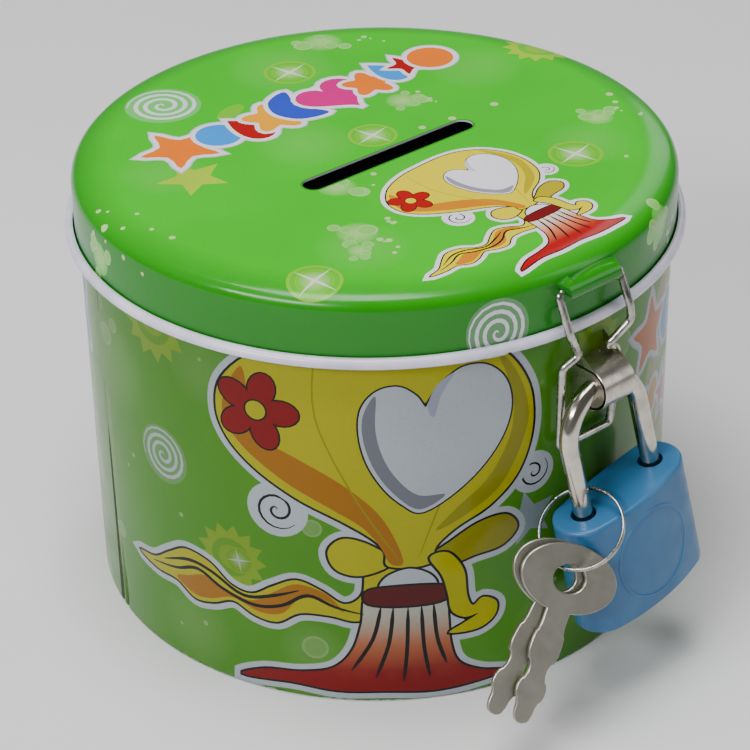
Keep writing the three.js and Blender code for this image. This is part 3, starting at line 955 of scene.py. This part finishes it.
def lacquered_print(name, shade_wash, gloss):
    """Ink under a glossy lacquer, with faint orange peel and small scuffs. The shade wash multiplies every
    ink; below white it is painted shade.
    """
    look = Look(name, Coat_Weight=0.06, Coat_Roughness=0.08, Specular_IOR_Level=gloss)
    printed = look.tree.nodes.new("ShaderNodeVertexColor")
    printed.layer_name = "ink"
    cloud = look.range(look.noise(26, 2), 0.0, 0.14)
    # Painted shade: the wash darkens the inks, for the can's side.
    shade_washed = look.blend(1.0, printed.outputs["Color"], shade_wash, "MULTIPLY")
    tinted = look.blend(cloud, shade_washed, ink(40, 90, 24), "MULTIPLY")
    grain = look.range(look.noise(0.5, 1), 0.0, 0.05)
    look.colour(look.blend(grain, tinted, (0.02, 0.02, 0.02)))
    look.rough(look.noise(6, 4), 0.16, 0.26)
    look.bump(look.noise(4, 2), 0.02, 0.35)
    return look.material


def mottled(name, tints, clouds, rough, patches, bump, grain, **sockets):
    """Two close tints in clouds, roughness in patches and a fine grain.

    Clouds, patches and grain are what noise() takes. Rough is (low, high) and bump (height, strength).
    """
    look = Look(name, **sockets)
    look.colour(look.blend(look.range(look.noise(*clouds), 0, 1), *tints))
    look.rough(look.noise(*patches), *rough)
    look.bump(look.noise(*grain), *bump)
    return look.material


def metal(name, tints, clouds, rough, patches, bump, grain):
    return mottled(name, tints, clouds, rough, patches, bump, grain, Metallic=1)


def nickel(name, *rough):
    """Plated steel, polished or satin."""
    tints = (ink(214, 208, 196), ink(178, 172, 160))
    return metal(name, tints, (3, 4), rough, (1.5, 4), (0.03, 0.3), (1.8, 3))


LID_PRINT = lacquered_print("lid_print", (1, 1, 1), 0.36)
# Painted shade: the can's side takes a darker copy of the print, since it gets less light than the lid's
# top.
SHADED_CAN_PRINT = lacquered_print("can_print", (0.44, 0.5, 0.5), 0.18)
NICKEL = nickel("nickel_plate", 0.1, 0.22)
SATIN_NICKEL = nickel("satin_nickel", 0.24, 0.36)

# The sheet's bare side, drawn out along the height.
TIN = metal(
    "bare_tin",
    tints=(ink(196, 196, 190), ink(160, 162, 160)),
    clouds=(9, 4),
    rough=(0.24, 0.42),
    patches=(1.2, 3, (1, 1, 0.15)),
    bump=(0.01, 0.4),
    grain=(0.6, 2, (1, 1, 0.1)),
)

# The pale lacquer on the back of the lid's sheet, which shows on the rolled hem.
ENAMEL = mottled(
    "white_enamel",
    tints=(ink(232, 228, 246), ink(208, 204, 226)),
    clouds=(7, 4),
    rough=(0.2, 0.34),
    patches=(3, 4),
    bump=(0.02, 0.3),
    grain=(1.5, 2),
    Coat_Weight=0.3,
    Coat_Roughness=0.1,
)

WIRE = metal(
    "steel_wire",
    tints=(ink(206, 204, 196), ink(150, 148, 140)),
    clouds=(2.2, 4),
    rough=(0.18, 0.34),
    patches=(0.9, 3),
    bump=(0.01, 0.4),
    grain=(0.5, 2),
)

KEY_STEEL = metal(
    "key_steel",
    tints=(ink(176, 174, 162), ink(158, 156, 144)),
    clouds=(4, 5),
    rough=(0.38, 0.46),
    patches=(1.4, 4),
    bump=(0.008, 0.4),
    grain=(0.35, 3),
)

SPRING_STEEL = metal(
    "spring_steel",
    tints=(ink(150, 152, 154), ink(110, 112, 116)),
    clouds=(2, 4),
    rough=(0.24, 0.42),
    patches=(0.8, 3),
    bump=(0.008, 0.4),
    grain=(0.4, 2),
)

# Moulded light blue plastic, a little see-through at its edges, with fine handling marks.
BLUE = mottled(
    "blue_plastic",
    tints=(ink(50, 114, 162), ink(42, 100, 148)),
    clouds=(7, 3),
    rough=(0.3, 0.46),
    patches=(2.5, 4),
    bump=(0.02, 0.3),
    grain=(0.7, 2),
    Subsurface_Weight=0.08,
    Subsurface_Scale=0.002,
)

# ---------------------------------------------------------------- can


def can_profile():
    """The wall's section. Lengths along it are equal to heights on the straight stretch."""
    radius, hem = CAN_RADIUS, CAN_RADIUS - HEM_WIDTH
    curl = radius - RIM_RADIUS
    points = [(hem, HEM_HEIGHT)]
    points += arc(hem + FOOT_RADIUS, FOOT_RADIUS, FOOT_RADIUS, 180, 270, 15)
    points += arc(radius - FOOT_RADIUS, FOOT_RADIUS, FOOT_RADIUS, 270, 360, 15)
    straight = len(points) - 1
    points += arc(curl, RIM_HEIGHT, RIM_RADIUS, 0, 180, 10)
    points.append((curl - RIM_RADIUS, RIM_HEIGHT - RIM_RETURN))
    return Profile(points, FOOT_RADIUS - Profile(points, 0).lengths[straight])


def strip(left, width):
    """A band of the can's side over its whole height."""
    return [(left, 0), (left + width, 0), (left + width, RIM_HEIGHT), (left, RIM_HEIGHT)]


CAN_GLOWS = [(-88, 52, 9), (-66, 60, 7), (-70, 8, 8), (-48, 10, 6), (-6, 10, 9), (8, 40, 10), (30, 14, 9)]
CAN_BUBBLES = [
    (-47.6, 10.6, 2.3), (-91, 56, 2), (-88, 59, 1.3), (-47.5, 34.5, 1.7), (8.6, 57, 2.8), (-91, 17, 1.6),
]
CAN_DOTS = [
    (-70, 13), (-73.6, 7), (-68, 9.6), (-66, 62), (-72, 30), (-84, 36), (-86, 33), (-56, 47), (-8, 22),
    (-6, 18),
]
CAN_WAVE = [
    (22, 60), (31, 62), (40, 57), (33, 50), (25, 46), (22, 40), (31, 30), (24, 28), (16, 35), (20, 52),
]
CAN_GARLAND = [
    (19, 54, 1.25, "star", ORANGE), (29.6, 52, 0.95, "disc", SKY), (37.6, 53, 0.95, "drop", RED),
    (45.4, 52.4, 1, "flower", AMBER), (53.4, 54, 1.1, "moon", ROYAL), (20, 40, 0.8, "heart", AMBER),
    (28, 38, 0.75, "star", MAGENTA), (36.6, 40, 0.75, "disc", ORANGE),
]


def can_side_print(start):
    """The pictures on one side of the can, around a point along its girth."""
    shapes = []
    for x, y, size in CAN_GLOWS:
        shapes += glow(start + x, y, size, PALE_GREEN, 0.22, CAN_GREEN)
    shapes += sun(start - 76, 65.5, 7.6, CAN_GREEN) + sun(start - 62, 25.4, 6.6, CAN_GREEN)
    shapes += sparkle(start - 60.6, 25.2, 2.6, mix(CAN_GREEN, LIME, 0.3))
    shapes += swirl(start - 75.4, 40.4, 5.4, CAN_GREEN, 1)
    shapes += sun(start + 2, 60, 6, CAN_GREEN) + swirl(start + 34, 34, 6, CAN_GREEN, 2)
    for x, y, size in CAN_BUBBLES:
        shapes += bubble(start + x, y, size, CAN_GREEN)
    for x, y in CAN_DOTS:
        shapes += dot(start + x, y, random.uniform(0.3, 0.6), mix(CAN_GREEN, PALE_GREEN, 0.8))
    shapes += plain(star(start - 11.5, 32.6, 5.4, 2.4, 5, 0.5), mix(CAN_GREEN, LAVENDER, 0.75))
    shapes += plain(smooth([(start + x, y) for x, y in CAN_WAVE]), mix(CAN_GREEN, PEACH, 0.5))
    shapes += balloon_motif(1, start + MOTIF_CENTRE, 0)
    row = [(start + x, *rest) for x, *rest in CAN_GARLAND]
    return shapes + garland(garland_items(row, 5.6), 0.9)


def can_print():
    """Everything printed on the can's side: the same pictures twice, half a turn apart."""
    shapes = plain(strip(SEAM_U, 2.4), mix(CAN_GREEN, LIME, 0.25)) + plain(strip(SEAM_U, 0.5), DARK_GREEN)
    return shapes + can_side_print(0) + can_side_print(pi * CAN_RADIUS)


def can_wall():
    profile = can_profile()
    around = 2 * pi * CAN_RADIUS
    bends = [v for v in profile.lengths if v <= FOOT_RADIUS or v >= RIM_HEIGHT]
    straight = [FOOT_RADIUS + (RIM_HEIGHT - FOOT_RADIUS) * k / WALL_ROWS for k in range(WALL_ROWS + 1)]
    rows = sorted({*bends[::2], profile.lengths[-1], *straight})
    points = [(SEAM_U + around * i / ROUND, v) for v in rows for i in range(ROUND + 1)]

    def place(u, v):
        radius, height, tilt = profile.at(v)
        a = u / CAN_RADIUS
        out = Vector((sin(a), -cos(a), 0))
        normal = out * sin(tilt) + Vector((0, 0, -cos(tilt)))
        return out * radius + Vector((0, 0, height)), normal

    left, right = SEAM_U, SEAM_U + around
    low, high = profile.lengths[0], profile.lengths[-1]
    blank = plain([(left, low), (right, low), (right, high), (left, high)], CAN_GREEN)
    wall = sheet_metal("can_side", points, blank + can_print(), place, [SHADED_CAN_PRINT, TIN])
    settle(wall, "can", "printed_tin", "can_wall")


def bottom_plate():
    """A pressed plate: flat panel, gutter around it, and a flange down into the folded foot."""
    inner, outer = GUTTER
    edge = CAN_RADIUS - SHEET - FLANGE_GAP
    low, high = PANEL_HEIGHT + 1, GUTTER_HEIGHT - 1
    profile = [(PANEL_MIDDLE, PANEL_HEIGHT)]
    profile += arc(inner, low, 1, 270, 300, 10) + arc(outer, high, 1, 120, 90, 10)
    profile += [(edge - SHEET - 0.5, GUTTER_HEIGHT), (edge - SHEET, GUTTER_HEIGHT - 0.5)]
    profile += [(edge - SHEET, FLANGE_FOOT), (edge, FLANGE_FOOT), (edge, FLANGE_TOP)]
    profile += [(edge - 0.5, GUTTER_HEIGHT + SHEET)] + arc(outer, high + SHEET, 1, 90, 120, 10)
    profile += arc(inner, low + SHEET, 1, 300, 270, 10) + [(PANEL_MIDDLE, PANEL_HEIGHT + SHEET)]
    rings = [[(r * cos(a), r * sin(a), z) for a in full_turn(ROUND)] for r, z in profile]
    settle(placed("can_bottom", loft(rings), Matrix(), TIN, 32), "can", "bare_tin", "bottom_plate")


def beside(line, offset):
    """An open line moved sideways, to its left for a positive offset."""
    side = []
    for i, (x, y) in enumerate(line):
        ax, ay = line[max(i - 1, 0)]
        bx, by = line[min(i + 1, len(line) - 1)]
        way = Vector((bx - ax, by - ay)).normalized()
        side.append((x - way.y * offset, y + way.x * offset))
    return side


def staple():
    """A strap that comes out of the wall, loops round, and goes in again."""
    half = STAPLE_THICK / 2
    bend = (STAPLE_TOP - STAPLE_BOTTOM) / 2
    inside = -SHEET - STAPLE_TAB_STANDOFF - half
    line = [(inside, STAPLE_TOP + STAPLE_TAB), (inside, STAPLE_TOP + 0.5), (inside + 0.5, STAPLE_TOP)]
    line += arc(STAPLE_REACH - half - bend, (STAPLE_TOP + STAPLE_BOTTOM) / 2, bend, 90, -90, 6)
    line += [(inside + 0.5, STAPLE_BOTTOM), (inside, STAPLE_BOTTOM - 0.5)]
    line.append((inside, STAPLE_BOTTOM - STAPLE_TAB))
    outline = beside(line, half) + beside(line, -half)[::-1]
    on_side = Matrix(((0, 0, -1, 0), (-1, 0, 0, -CAN_RADIUS), (0, 1, 0, 0), (0, 0, 0, 1)))
    strap = placed("hasp_staple", plate(outline, [], STAPLE_WIDTH, 0.09), on_side, SATIN_NICKEL, 40)
    settle(strap, "can", "nickel", "staple")


# ---------------------------------------------------------------- lid and hasp


def lid_top():
    """Section of the lid from its middle to the top of the skirt."""
    corner = SKIRT_RADIUS - CORNER_RADIUS
    reach = CROWN_RADIUS - CORNER_RADIUS
    angle = radians(CROWN_ANGLE)
    centre = LID_TOP - CROWN_RADIUS
    points = [(0, LID_TOP)]
    points += arc(corner - reach * sin(angle), centre, CROWN_RADIUS, 90, 90 - CROWN_ANGLE, 2)
    points += arc(corner, centre + reach * cos(angle), CORNER_RADIUS, 90 - CROWN_ANGLE, 0, 5)[1:]
    return points


def lid_profile():
    """Follows the printed face: the top, the skirt and the outside of the rolled hem."""
    radius = CURL_RADIUS - SHEET
    return Profile(lid_top() + arc(SKIRT_RADIUS + radius, CURL_HEIGHT, radius, 180, CURL_END, 12), 0)


LID_GLOWS = [(-32, 16, 8), (-25, -25, 8), (8, 33, 10), (33, 10, 9), (-8, 8, 9), (26, -24, 8)]
LID_SPARKLES = [(8, 31, 4.6), (2, 2.6, 4.2), (21.6, -25.6, 4.6), (-37, -27.4, 4.4)]
LID_CLUSTERS = [
    (-22.6, -21, 3.6), (-26, -25.4, 2.2), (20.4, 36.6, 3.8), (14.6, 9, 3), (34, -18.6, 3), (-14.6, -7, 3.4),
    (-54.6, 12, 3), (26.6, 46, 3), (20, -49, 3.4),
]
LID_DOTS = [
    (-49, 10), (-47.6, 6.6), (-45, 2.4), (-44.4, -2), (-43.6, 8), (-52, 3), (-53, -2), (10, -1), (16, -2),
    (25, -3), (27, -32), (42, -14),
]
LID_GARLAND = [
    (-24.6, 21, 1.42, "star", ORANGE), (-16.6, 20.6, 0.95, "disc", SKY), (-11.2, 19, 1, "drop", RED),
    (-5.6, 19.4, 1.15, "flower", AMBER), (0.4, 20, 1.2, "moon", ROYAL), (7.4, 19, 1.36, "heart", MAGENTA),
    (15, 18, 1, "flower", ORANGE), (20.6, 19.4, 0.9, "drop", SKY), (25, 19, 0.8, "star", RED),
    (30, 18.4, 1, "disc", ORANGE),
]


def lid_print():
    """Everything printed on the lid, and the coin slot with painted shade around its edge."""
    shapes = []
    for x, y, size in LID_GLOWS:
        shapes += glow(x, y, size, PALE_GREEN, 0.12, LID_GREEN)
    # The second swirl sits on the skirt and mixes into its painted-shade green.
    shapes += swirl(-16.4, 36, 6.6, LID_GREEN) + swirl(-20, -54, 6, SHADED_SKIRT_GREEN, 1)
    shapes += swirl(-9, 55, 5, LID_GREEN, 2)
    shapes += plain(star(-29.4, 11.4, 6.2, 2.8, 5, 0.2), mix(LID_GREEN, LIME, 0.85))
    shapes += sun(47, 8.4, 6.4, LID_GREEN) + sun(25, 50.5, 6, LID_GREEN)
    for spot in LID_SPARKLES:
        shapes += sparkle(*spot, LID_GREEN)
    for spot in LID_CLUSTERS:
        shapes += cluster(*spot, LID_GREEN)
    for x, y in LID_DOTS:
        shapes += dot(x, y, random.uniform(0.35, 0.8), mix(LID_GREEN, PALE_GREEN, 0.85))
    shapes += plain(ellipse(-9.6, 26, 3.4, 1.6, 0.3), mix(LID_GREEN, LIME, 0.35))
    shapes += garland(garland_items(LID_GARLAND, 4.9), 0.8)
    shapes += balloon_motif(0.515, 1.2, -47.4)
    end = SLOT_WIDTH / 2
    reach = SLOT_LENGTH / 2 - end
    slot = arc(reach, 0, end, -90, 90, 12) + arc(-reach, 0, end, 90, 270, 12)
    slot = set_down(slot, *SLOT_CENTRE, SLOT_TURN)
    # Painted shade: a darker ring around the coin slot's edge.
    return shapes + plain(border(slot, 0.35), mix(LID_GREEN, BLACK, 0.45)) + [Shape(slot, HOLE)]


def lid_grid(profile, crown_from, curl_from):
    """Where the lid's sheet is divided: squares on top, rings around them, a fine patch at the tunnel."""
    steps = int(crown_from / TOP_GRID)
    squares = [(i, k) for i in range(-steps, steps + 1) for k in range(-steps, steps + 1)]
    points = [(i * TOP_GRID, k * TOP_GRID) for i, k in squares if hypot(i, k) * TOP_GRID < crown_from - 1]
    skirt = [curl_from - 2, curl_from - 4]
    for length in [crown_from, *profile.lengths[2::2], *skirt, profile.lengths[-1]]:
        points += [(length * cos(a), length * sin(a)) for a in full_turn(ROUND)]
    tunnel_from = curl_from - (TUNNEL_HEIGHT + 2.4 - CURL_HEIGHT)
    across, down = TUNNEL_GRID
    points += [(i * across, -(tunnel_from + down * k)) for i in range(-20, 21) for k in range(16)]
    return points


def lid():
    profile = lid_profile()
    bends = len(lid_top())
    crown_from, skirt_from, curl_from = (profile.lengths[i] for i in (1, bends - 1, bends))
    across = Vector((cos(LID_TURN), sin(LID_TURN), 0))
    ahead = Vector((sin(LID_TURN), -cos(LID_TURN), 0))

    def bulge(position):
        """The pressed tunnel that holds the hasp's wire."""
        side, rise, out = position.dot(across), position.z - TUNNEL_HEIGHT, position.dot(ahead)
        if out < 0 or abs(side) > TUNNEL_HALF + TUNNEL_FADE or abs(rise) >= TUNNEL_RADIUS:
            return position
        proud = TUNNEL_OUT + sqrt(TUNNEL_RADIUS**2 - rise**2) - out
        fade = min(1, (TUNNEL_HALF + TUNNEL_FADE - abs(side)) / TUNNEL_FADE)
        return position + ahead * max(0, proud) * fade

    def surface(x, y):
        length = hypot(x, y)
        radius, height, tilt = profile.at(length)
        out = Vector((x, y, 0)) / length if length > 1e-6 else Vector((1, 0, 0))
        return out * radius + Vector((0, 0, height)), out, tilt

    def place(x, y):
        flat, out, tilt = surface(x, y)
        normal = out * -sin(tilt) + Vector((0, 0, cos(tilt)))
        position = bulge(flat)
        if (position - flat).length > 0.01:
            step = 0.1
            along = bulge(surface(x + step, y)[0]) - bulge(surface(x - step, y)[0])
            down = bulge(surface(x, y + step)[0]) - bulge(surface(x, y - step)[0])
            normal = along.cross(down).normalized()
        return position, normal

    def ground(x, y):
        """Painted shade: the lid's green darkens from the top down the skirt, which gets less light."""
        share = (hypot(x, y) - crown_from) / (skirt_from - crown_from)
        return mix(LID_GREEN, SHADED_SKIRT_GREEN, min(max(share, 0), 1))

    blank = [Shape(ellipse(0, 0, profile.lengths[-1], steps=ROUND), ground)]
    grid = lid_grid(profile, crown_from, curl_from)
    cover = sheet_metal("lid_cover", grid, blank + lid_print(), place, [LID_PRINT, ENAMEL])
    settle(cover, "lid", "printed_tin", "lid")


def bail():
    corners = [Vector((x, -CAN_RADIUS - out, z)) for x, out, z in WIRE_ROUTE]
    solid = tube(*rounded_ends(eased(corners, 0.9), WIRE_RADIUS), 18)
    wire = placed("hasp_wire", solid, Matrix.Rotation(LID_TURN, 4, "Z"), WIRE, 50)
    settle(wire, "bail", "steel_wire", "bail_wire")


# ---------------------------------------------------------------- padlock


def padlock_place():
    """From the padlock's own frame (case top at z = 0, legs at +-SHACKLE_HALF) to the row frame."""
    tilt = Matrix.Rotation(-LOCK_TILT, 4, "Y")
    arch_centre = SHACKLE_HALF - ARCH_DROP
    down = Vector((ARCH_SHIFT, 0, -arch_centre)) + tilt @ Vector((0, 0, -SHACKLE_STRAIGHT))
    hinge = Vector((0, -CAN_RADIUS - LOCK_STANDOFF, LOCK_HEIGHT))
    return Matrix.Translation(hinge) @ Matrix.Rotation(-LOCK_LEAN, 4, "X") @ Matrix.Translation(down) @ tilt


LOCK_PLACE = padlock_place()


def shackle():
    """A bent rod with a groove in the long leg and a notch in the short one."""
    half = SHACKLE_HALF
    low, high = GROOVE
    straight = [-4, 3, 7]  # rings along both straight stretches
    line = [(-half, 0, z) for z in (-SHACKLE_LONG, low - 0.1, low, high, high + 0.1, *straight)]
    line += [(x, 0, z) for x, z in arc(0, SHACKLE_STRAIGHT, half, 180, 0, 5)]
    line += [(half, 0, z) for z in (*reversed(straight), -SHACKLE_SHORT)]
    ends, radii = rounded_ends(line, SHACKLE_RADIUS)
    radii[3] = radii[4] = SHACKLE_RADIUS - GROOVE_DEPTH
    rod = placed("lock_shackle", tube(ends, radii, 32), LOCK_PLACE, NICKEL)
    leg = half - SHACKLE_RADIUS
    notch = block((leg - 1, -3, NOTCH[0]), (leg + 1.2, 3, NOTCH[1]))
    settle(shade(carve(rod, [notch], NICKEL), 40), "padlock", "nickel", "shackle")


CASE_EDGE = sqrt(CASE_END**2 - (CASE_CREASE - SHACKLE_HALF) ** 2)  # half depth where the bowed sides begin


def side_bend(out):
    """Radius of a bowed side whose middle stands this far out."""
    rise = out - CASE_EDGE
    return (CASE_CREASE**2 + rise**2) / (2 * rise)


def case_plan(inset):
    """The case from above: two round ends joined by slightly bowed sides."""
    turn = degrees(asin(CASE_EDGE / CASE_END))

    def end(x, middle):
        return arc(x, 0, CASE_END - inset, middle - turn, middle + turn, 6)

    def side(out, sign, middle):
        bend = side_bend(out)
        angle = degrees(asin(CASE_CREASE / bend))
        return arc(0, sign * (out - bend), bend - inset, middle - angle, middle + angle, 2)[1:-1]

    back, front = side(CASE_BACK, 1, 90), side(CASE_FRONT, -1, 270)
    return end(SHACKLE_HALF, 0) + back + end(-SHACKLE_HALF, 180) + front


def block(low, high):
    corners = [(low[0], low[1]), (high[0], low[1]), (high[0], high[1]), (low[0], high[1])]
    return loft([[(x, y, z) for x, y in corners] for z in (low[2], high[2])])


def upright(x, y, low, high, radius):
    return loft([[(px, py, z) for px, py in ellipse(x, y, radius, steps=40)] for z in (low, high)])


def padlock_case():
    """The moulded shell, with its bores, the latch's pocket, the pin's hole and the base cover's recess."""
    levels = [(0.3, -CASE_HEIGHT), (0.1, 0.1 - CASE_HEIGHT), (0, 0.3 - CASE_HEIGHT)]
    for i in range(7):
        a = pi / 2 * i / 6
        levels.append((CASE_FILLET * (1 - cos(a)), CASE_FILLET * (sin(a) - 1)))
    solid = loft([[(x, y, z) for x, y in case_plan(inset)] for inset, z in levels])
    case = placed("lock_case", solid, LOCK_PLACE, BLUE)
    depth, wall = CASE_RECESS
    recess = [[(x, y, z) for x, y in case_plan(wall)] for z in (-CASE_HEIGHT - 1, depth - CASE_HEIGHT)]
    (left, near), (right, far) = POCKET
    pin_x, pin_z = PIN
    hollows = [
        upright(-SHACKLE_HALF, 0, -LONG_BORE, 1, CASE_BORE),
        upright(SHACKLE_HALF, 0, -SHORT_BORE, 1, CASE_BORE),
        block((left, near, -CASE_HEIGHT), (right, far, POCKET_TOP)),
        block((right - 1, -2.6, NOTCH[0]), (SHACKLE_HALF, 2.6, POCKET_TOP)),
        loft(recess),
        tube([(pin_x, CASE_BACK + 2, pin_z), (pin_x, CASE_BACK - 8, pin_z)], [PIN_BORE] * 2, 24),
    ]
    settle(shade(carve(case, hollows, BLUE), 16), "padlock", "blue_plastic", "padlock_case")


def latch_spring():
    """The coil behind the latch."""
    line = []
    steps = COIL_TURNS * COIL_STEPS
    length = COIL_TO - COIL_FROM
    for i in range(steps + 1):
        a = 2 * pi * i / COIL_STEPS
        x = COIL_FROM + COIL_WIRE + (length - 2 * COIL_WIRE) * i / steps
        line.append((x, COIL_RADIUS * cos(a), COIL_HEIGHT + COIL_RADIUS * sin(a)))
    solid = tube(*rounded_ends(line, COIL_WIRE), 10)
    coil = placed("latch_coil", solid, LOCK_PLACE, SPRING_STEEL, 60)
    settle(coil, "padlock", "spring_steel", "latch_spring")
    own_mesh(coil)


def case_oval():
    """The raised oval line on the front of the case."""
    bend = side_bend(CASE_FRONT)
    wide, high, middle = OVAL
    line = []
    for a in full_turn(72):
        x = wide * cos(a)
        y = bend - CASE_FRONT - sqrt(bend**2 - x**2) + 0.4 * OVAL_LINE
        line.append((x, y, high * sin(a) + middle))
    solid = tube(line, [OVAL_LINE] * len(line), 10, closed=True)
    settle(placed("lock_oval", solid, LOCK_PLACE, BLUE, 60), "padlock", "blue_plastic")


def turned(tip, roll, turn):
    """Turn about Z, then tip about X, then roll about Y, in degrees."""
    pairs = ((turn, "Z"), (tip, "X"), (roll, "Y"))
    first, second, third = (Matrix.Rotation(radians(angle), 4, axis) for angle, axis in pairs)
    return first @ second @ third


RING_PLACE = Matrix.Translation(RING_CENTRE) @ turned(*RING_TURN)


def split_ring():
    """Two turns of wire side by side, crossing over where the ring opens."""
    line = []
    for i in range(2 * RING_STEPS + 1):
        a = RING_OPENING + 2 * pi * i / RING_STEPS
        shift = tanh((i - RING_STEPS) / 5) * (RING_WIRE - 0.02)
        line.append((RING_RADIUS * cos(a), RING_RADIUS * sin(a), shift))
    ring = placed("ring_wire", tube(*rounded_ends(line, RING_WIRE), 12), RING_PLACE, WIRE, 60)
    settle(ring, "key_ring", "steel_wire", "key_ring")


def key_outline():
    """The oval bow and a blade whose corners are cut off."""
    rx, ry = KEY_BOW
    start = degrees(asin(KEY_BLADE[0][1] / rx))
    bow = [(rx * x, ry * y) for x, y in arc(0, 0, 1, start - 90, 270 - start, 8)]
    left = [(-half, -down) for down, half in KEY_BLADE[1:]]
    right = [(half, -down) for down, half in reversed(KEY_BLADE[1:])]
    blade = []
    corners = [bow[-1], *left, *right, bow[0]]
    for before, corner, after in zip(corners, corners[1:], corners[2:]):
        blade += [mix(corner, before, 0.28), mix(corner, after, 0.28)]
    return bow + blade


def key(name):
    along, angles = KEY_PLACES[name]
    a = radians(along)
    hang = RING_PLACE @ Vector((RING_RADIUS * cos(a), RING_RADIUS * sin(a), 0))
    turn = turned(*angles)
    hang += turn @ Vector((0, 0, -KEY_DROP))
    place = Matrix.Translation(hang) @ turn @ Matrix.Rotation(pi / 2, 4, "X")
    solid = plate(key_outline(), [ellipse(0, 0, *KEY_HOLE, steps=32)], KEY_THICK, 0.12)
    settle(placed(f"{name}_blank", solid, place, KEY_STEEL, 30), name, "key_steel", name)


# ---------------------------------------------------------------- camera, light and floor


def photo_camera():
    """Looks at the aim from an angle around the can and an angle above the floor."""
    level = cos(CAMERA_ELEVATION)
    back = Vector((sin(CAMERA_AZIMUTH) * level, -cos(CAMERA_AZIMUTH) * level, sin(CAMERA_ELEVATION)))
    camera = bpy.data.cameras.new("camera")
    camera.lens = CAMERA_LENS
    camera.sensor_width = 36
    holder = bpy.data.objects.new("camera", camera)
    holder.location = (CAMERA_AIM + back * CAMERA_DISTANCE) * MM
    roll = Matrix.Rotation(CAMERA_ROLL, 4, "Z").to_quaternion()
    holder.rotation_euler = (back.to_track_quat("Z", "Y") @ roll).to_euler()
    bpy.context.scene.collection.objects.link(holder)
    bpy.context.scene.camera = holder


def softbox(name, position, size, power):
    """A rectangular light, in metres and watts, that faces the can's middle."""
    light = bpy.data.lights.new(name, "AREA")
    light.shape = "RECTANGLE"
    light.size, light.size_y = size
    light.energy = power
    lamp = bpy.data.objects.new(name, light)
    lamp.location = position
    lamp.rotation_euler = (lamp.location - Vector((0, 0, 0.04))).to_track_quat("Z", "Y").to_euler()
    bpy.context.scene.collection.objects.link(lamp)


def studio():
    """Camera, lights, a faint white surround and a pale floor."""
    photo_camera()
    softbox("key", (-0.8, -0.12, 0.62), (0.55, 0.16), 6.2)
    softbox("top", (-0.12, 0.05, 1.1), (0.6, 0.6), 12)
    softbox("rim", (0.75, 0.35, 0.5), (0.2, 0.5), 0.5)
    softbox("window", (0.48, -0.61, 0.49), (0.2, 0.6), 0.8)
    world = bpy.data.worlds.new("studio")
    world.use_nodes = True
    surround = world.node_tree.nodes["Background"]
    surround.inputs["Color"].default_value = (1, 1, 1, 1)
    surround.inputs["Strength"].default_value = 0.14
    bpy.context.scene.world = world

    look = Look("pale_floor", Roughness=0.7)
    look.colour(look.blend(look.range(look.noise(120, 2), 0, 1), (0.74, 0.74, 0.75), (0.78, 0.78, 0.78)))
    side = 2500
    corners = [(-side, -side, 0), (side, -side, 0), (side, side, 0), (-side, side, 0)]
    link("floor", corners, [[0, 1, 2, 3]], [look.material])


# ---------------------------------------------------------------- assembly

can_wall()
bottom_plate()
staple()
lid()
bail()
shackle()
padlock_case()
latch_spring()
case_oval()
split_ring()
key("key_1")
key("key_2")

for node, material in {
    "padlock_base": BLUE,
    "retaining_pin": SPRING_STEEL,
    "latch": SPRING_STEEL,
}.items():
    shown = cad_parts[node].data
    shown.materials.clear()
    shown.materials.append(material)

studio()

bpy.context.view_layer.update()
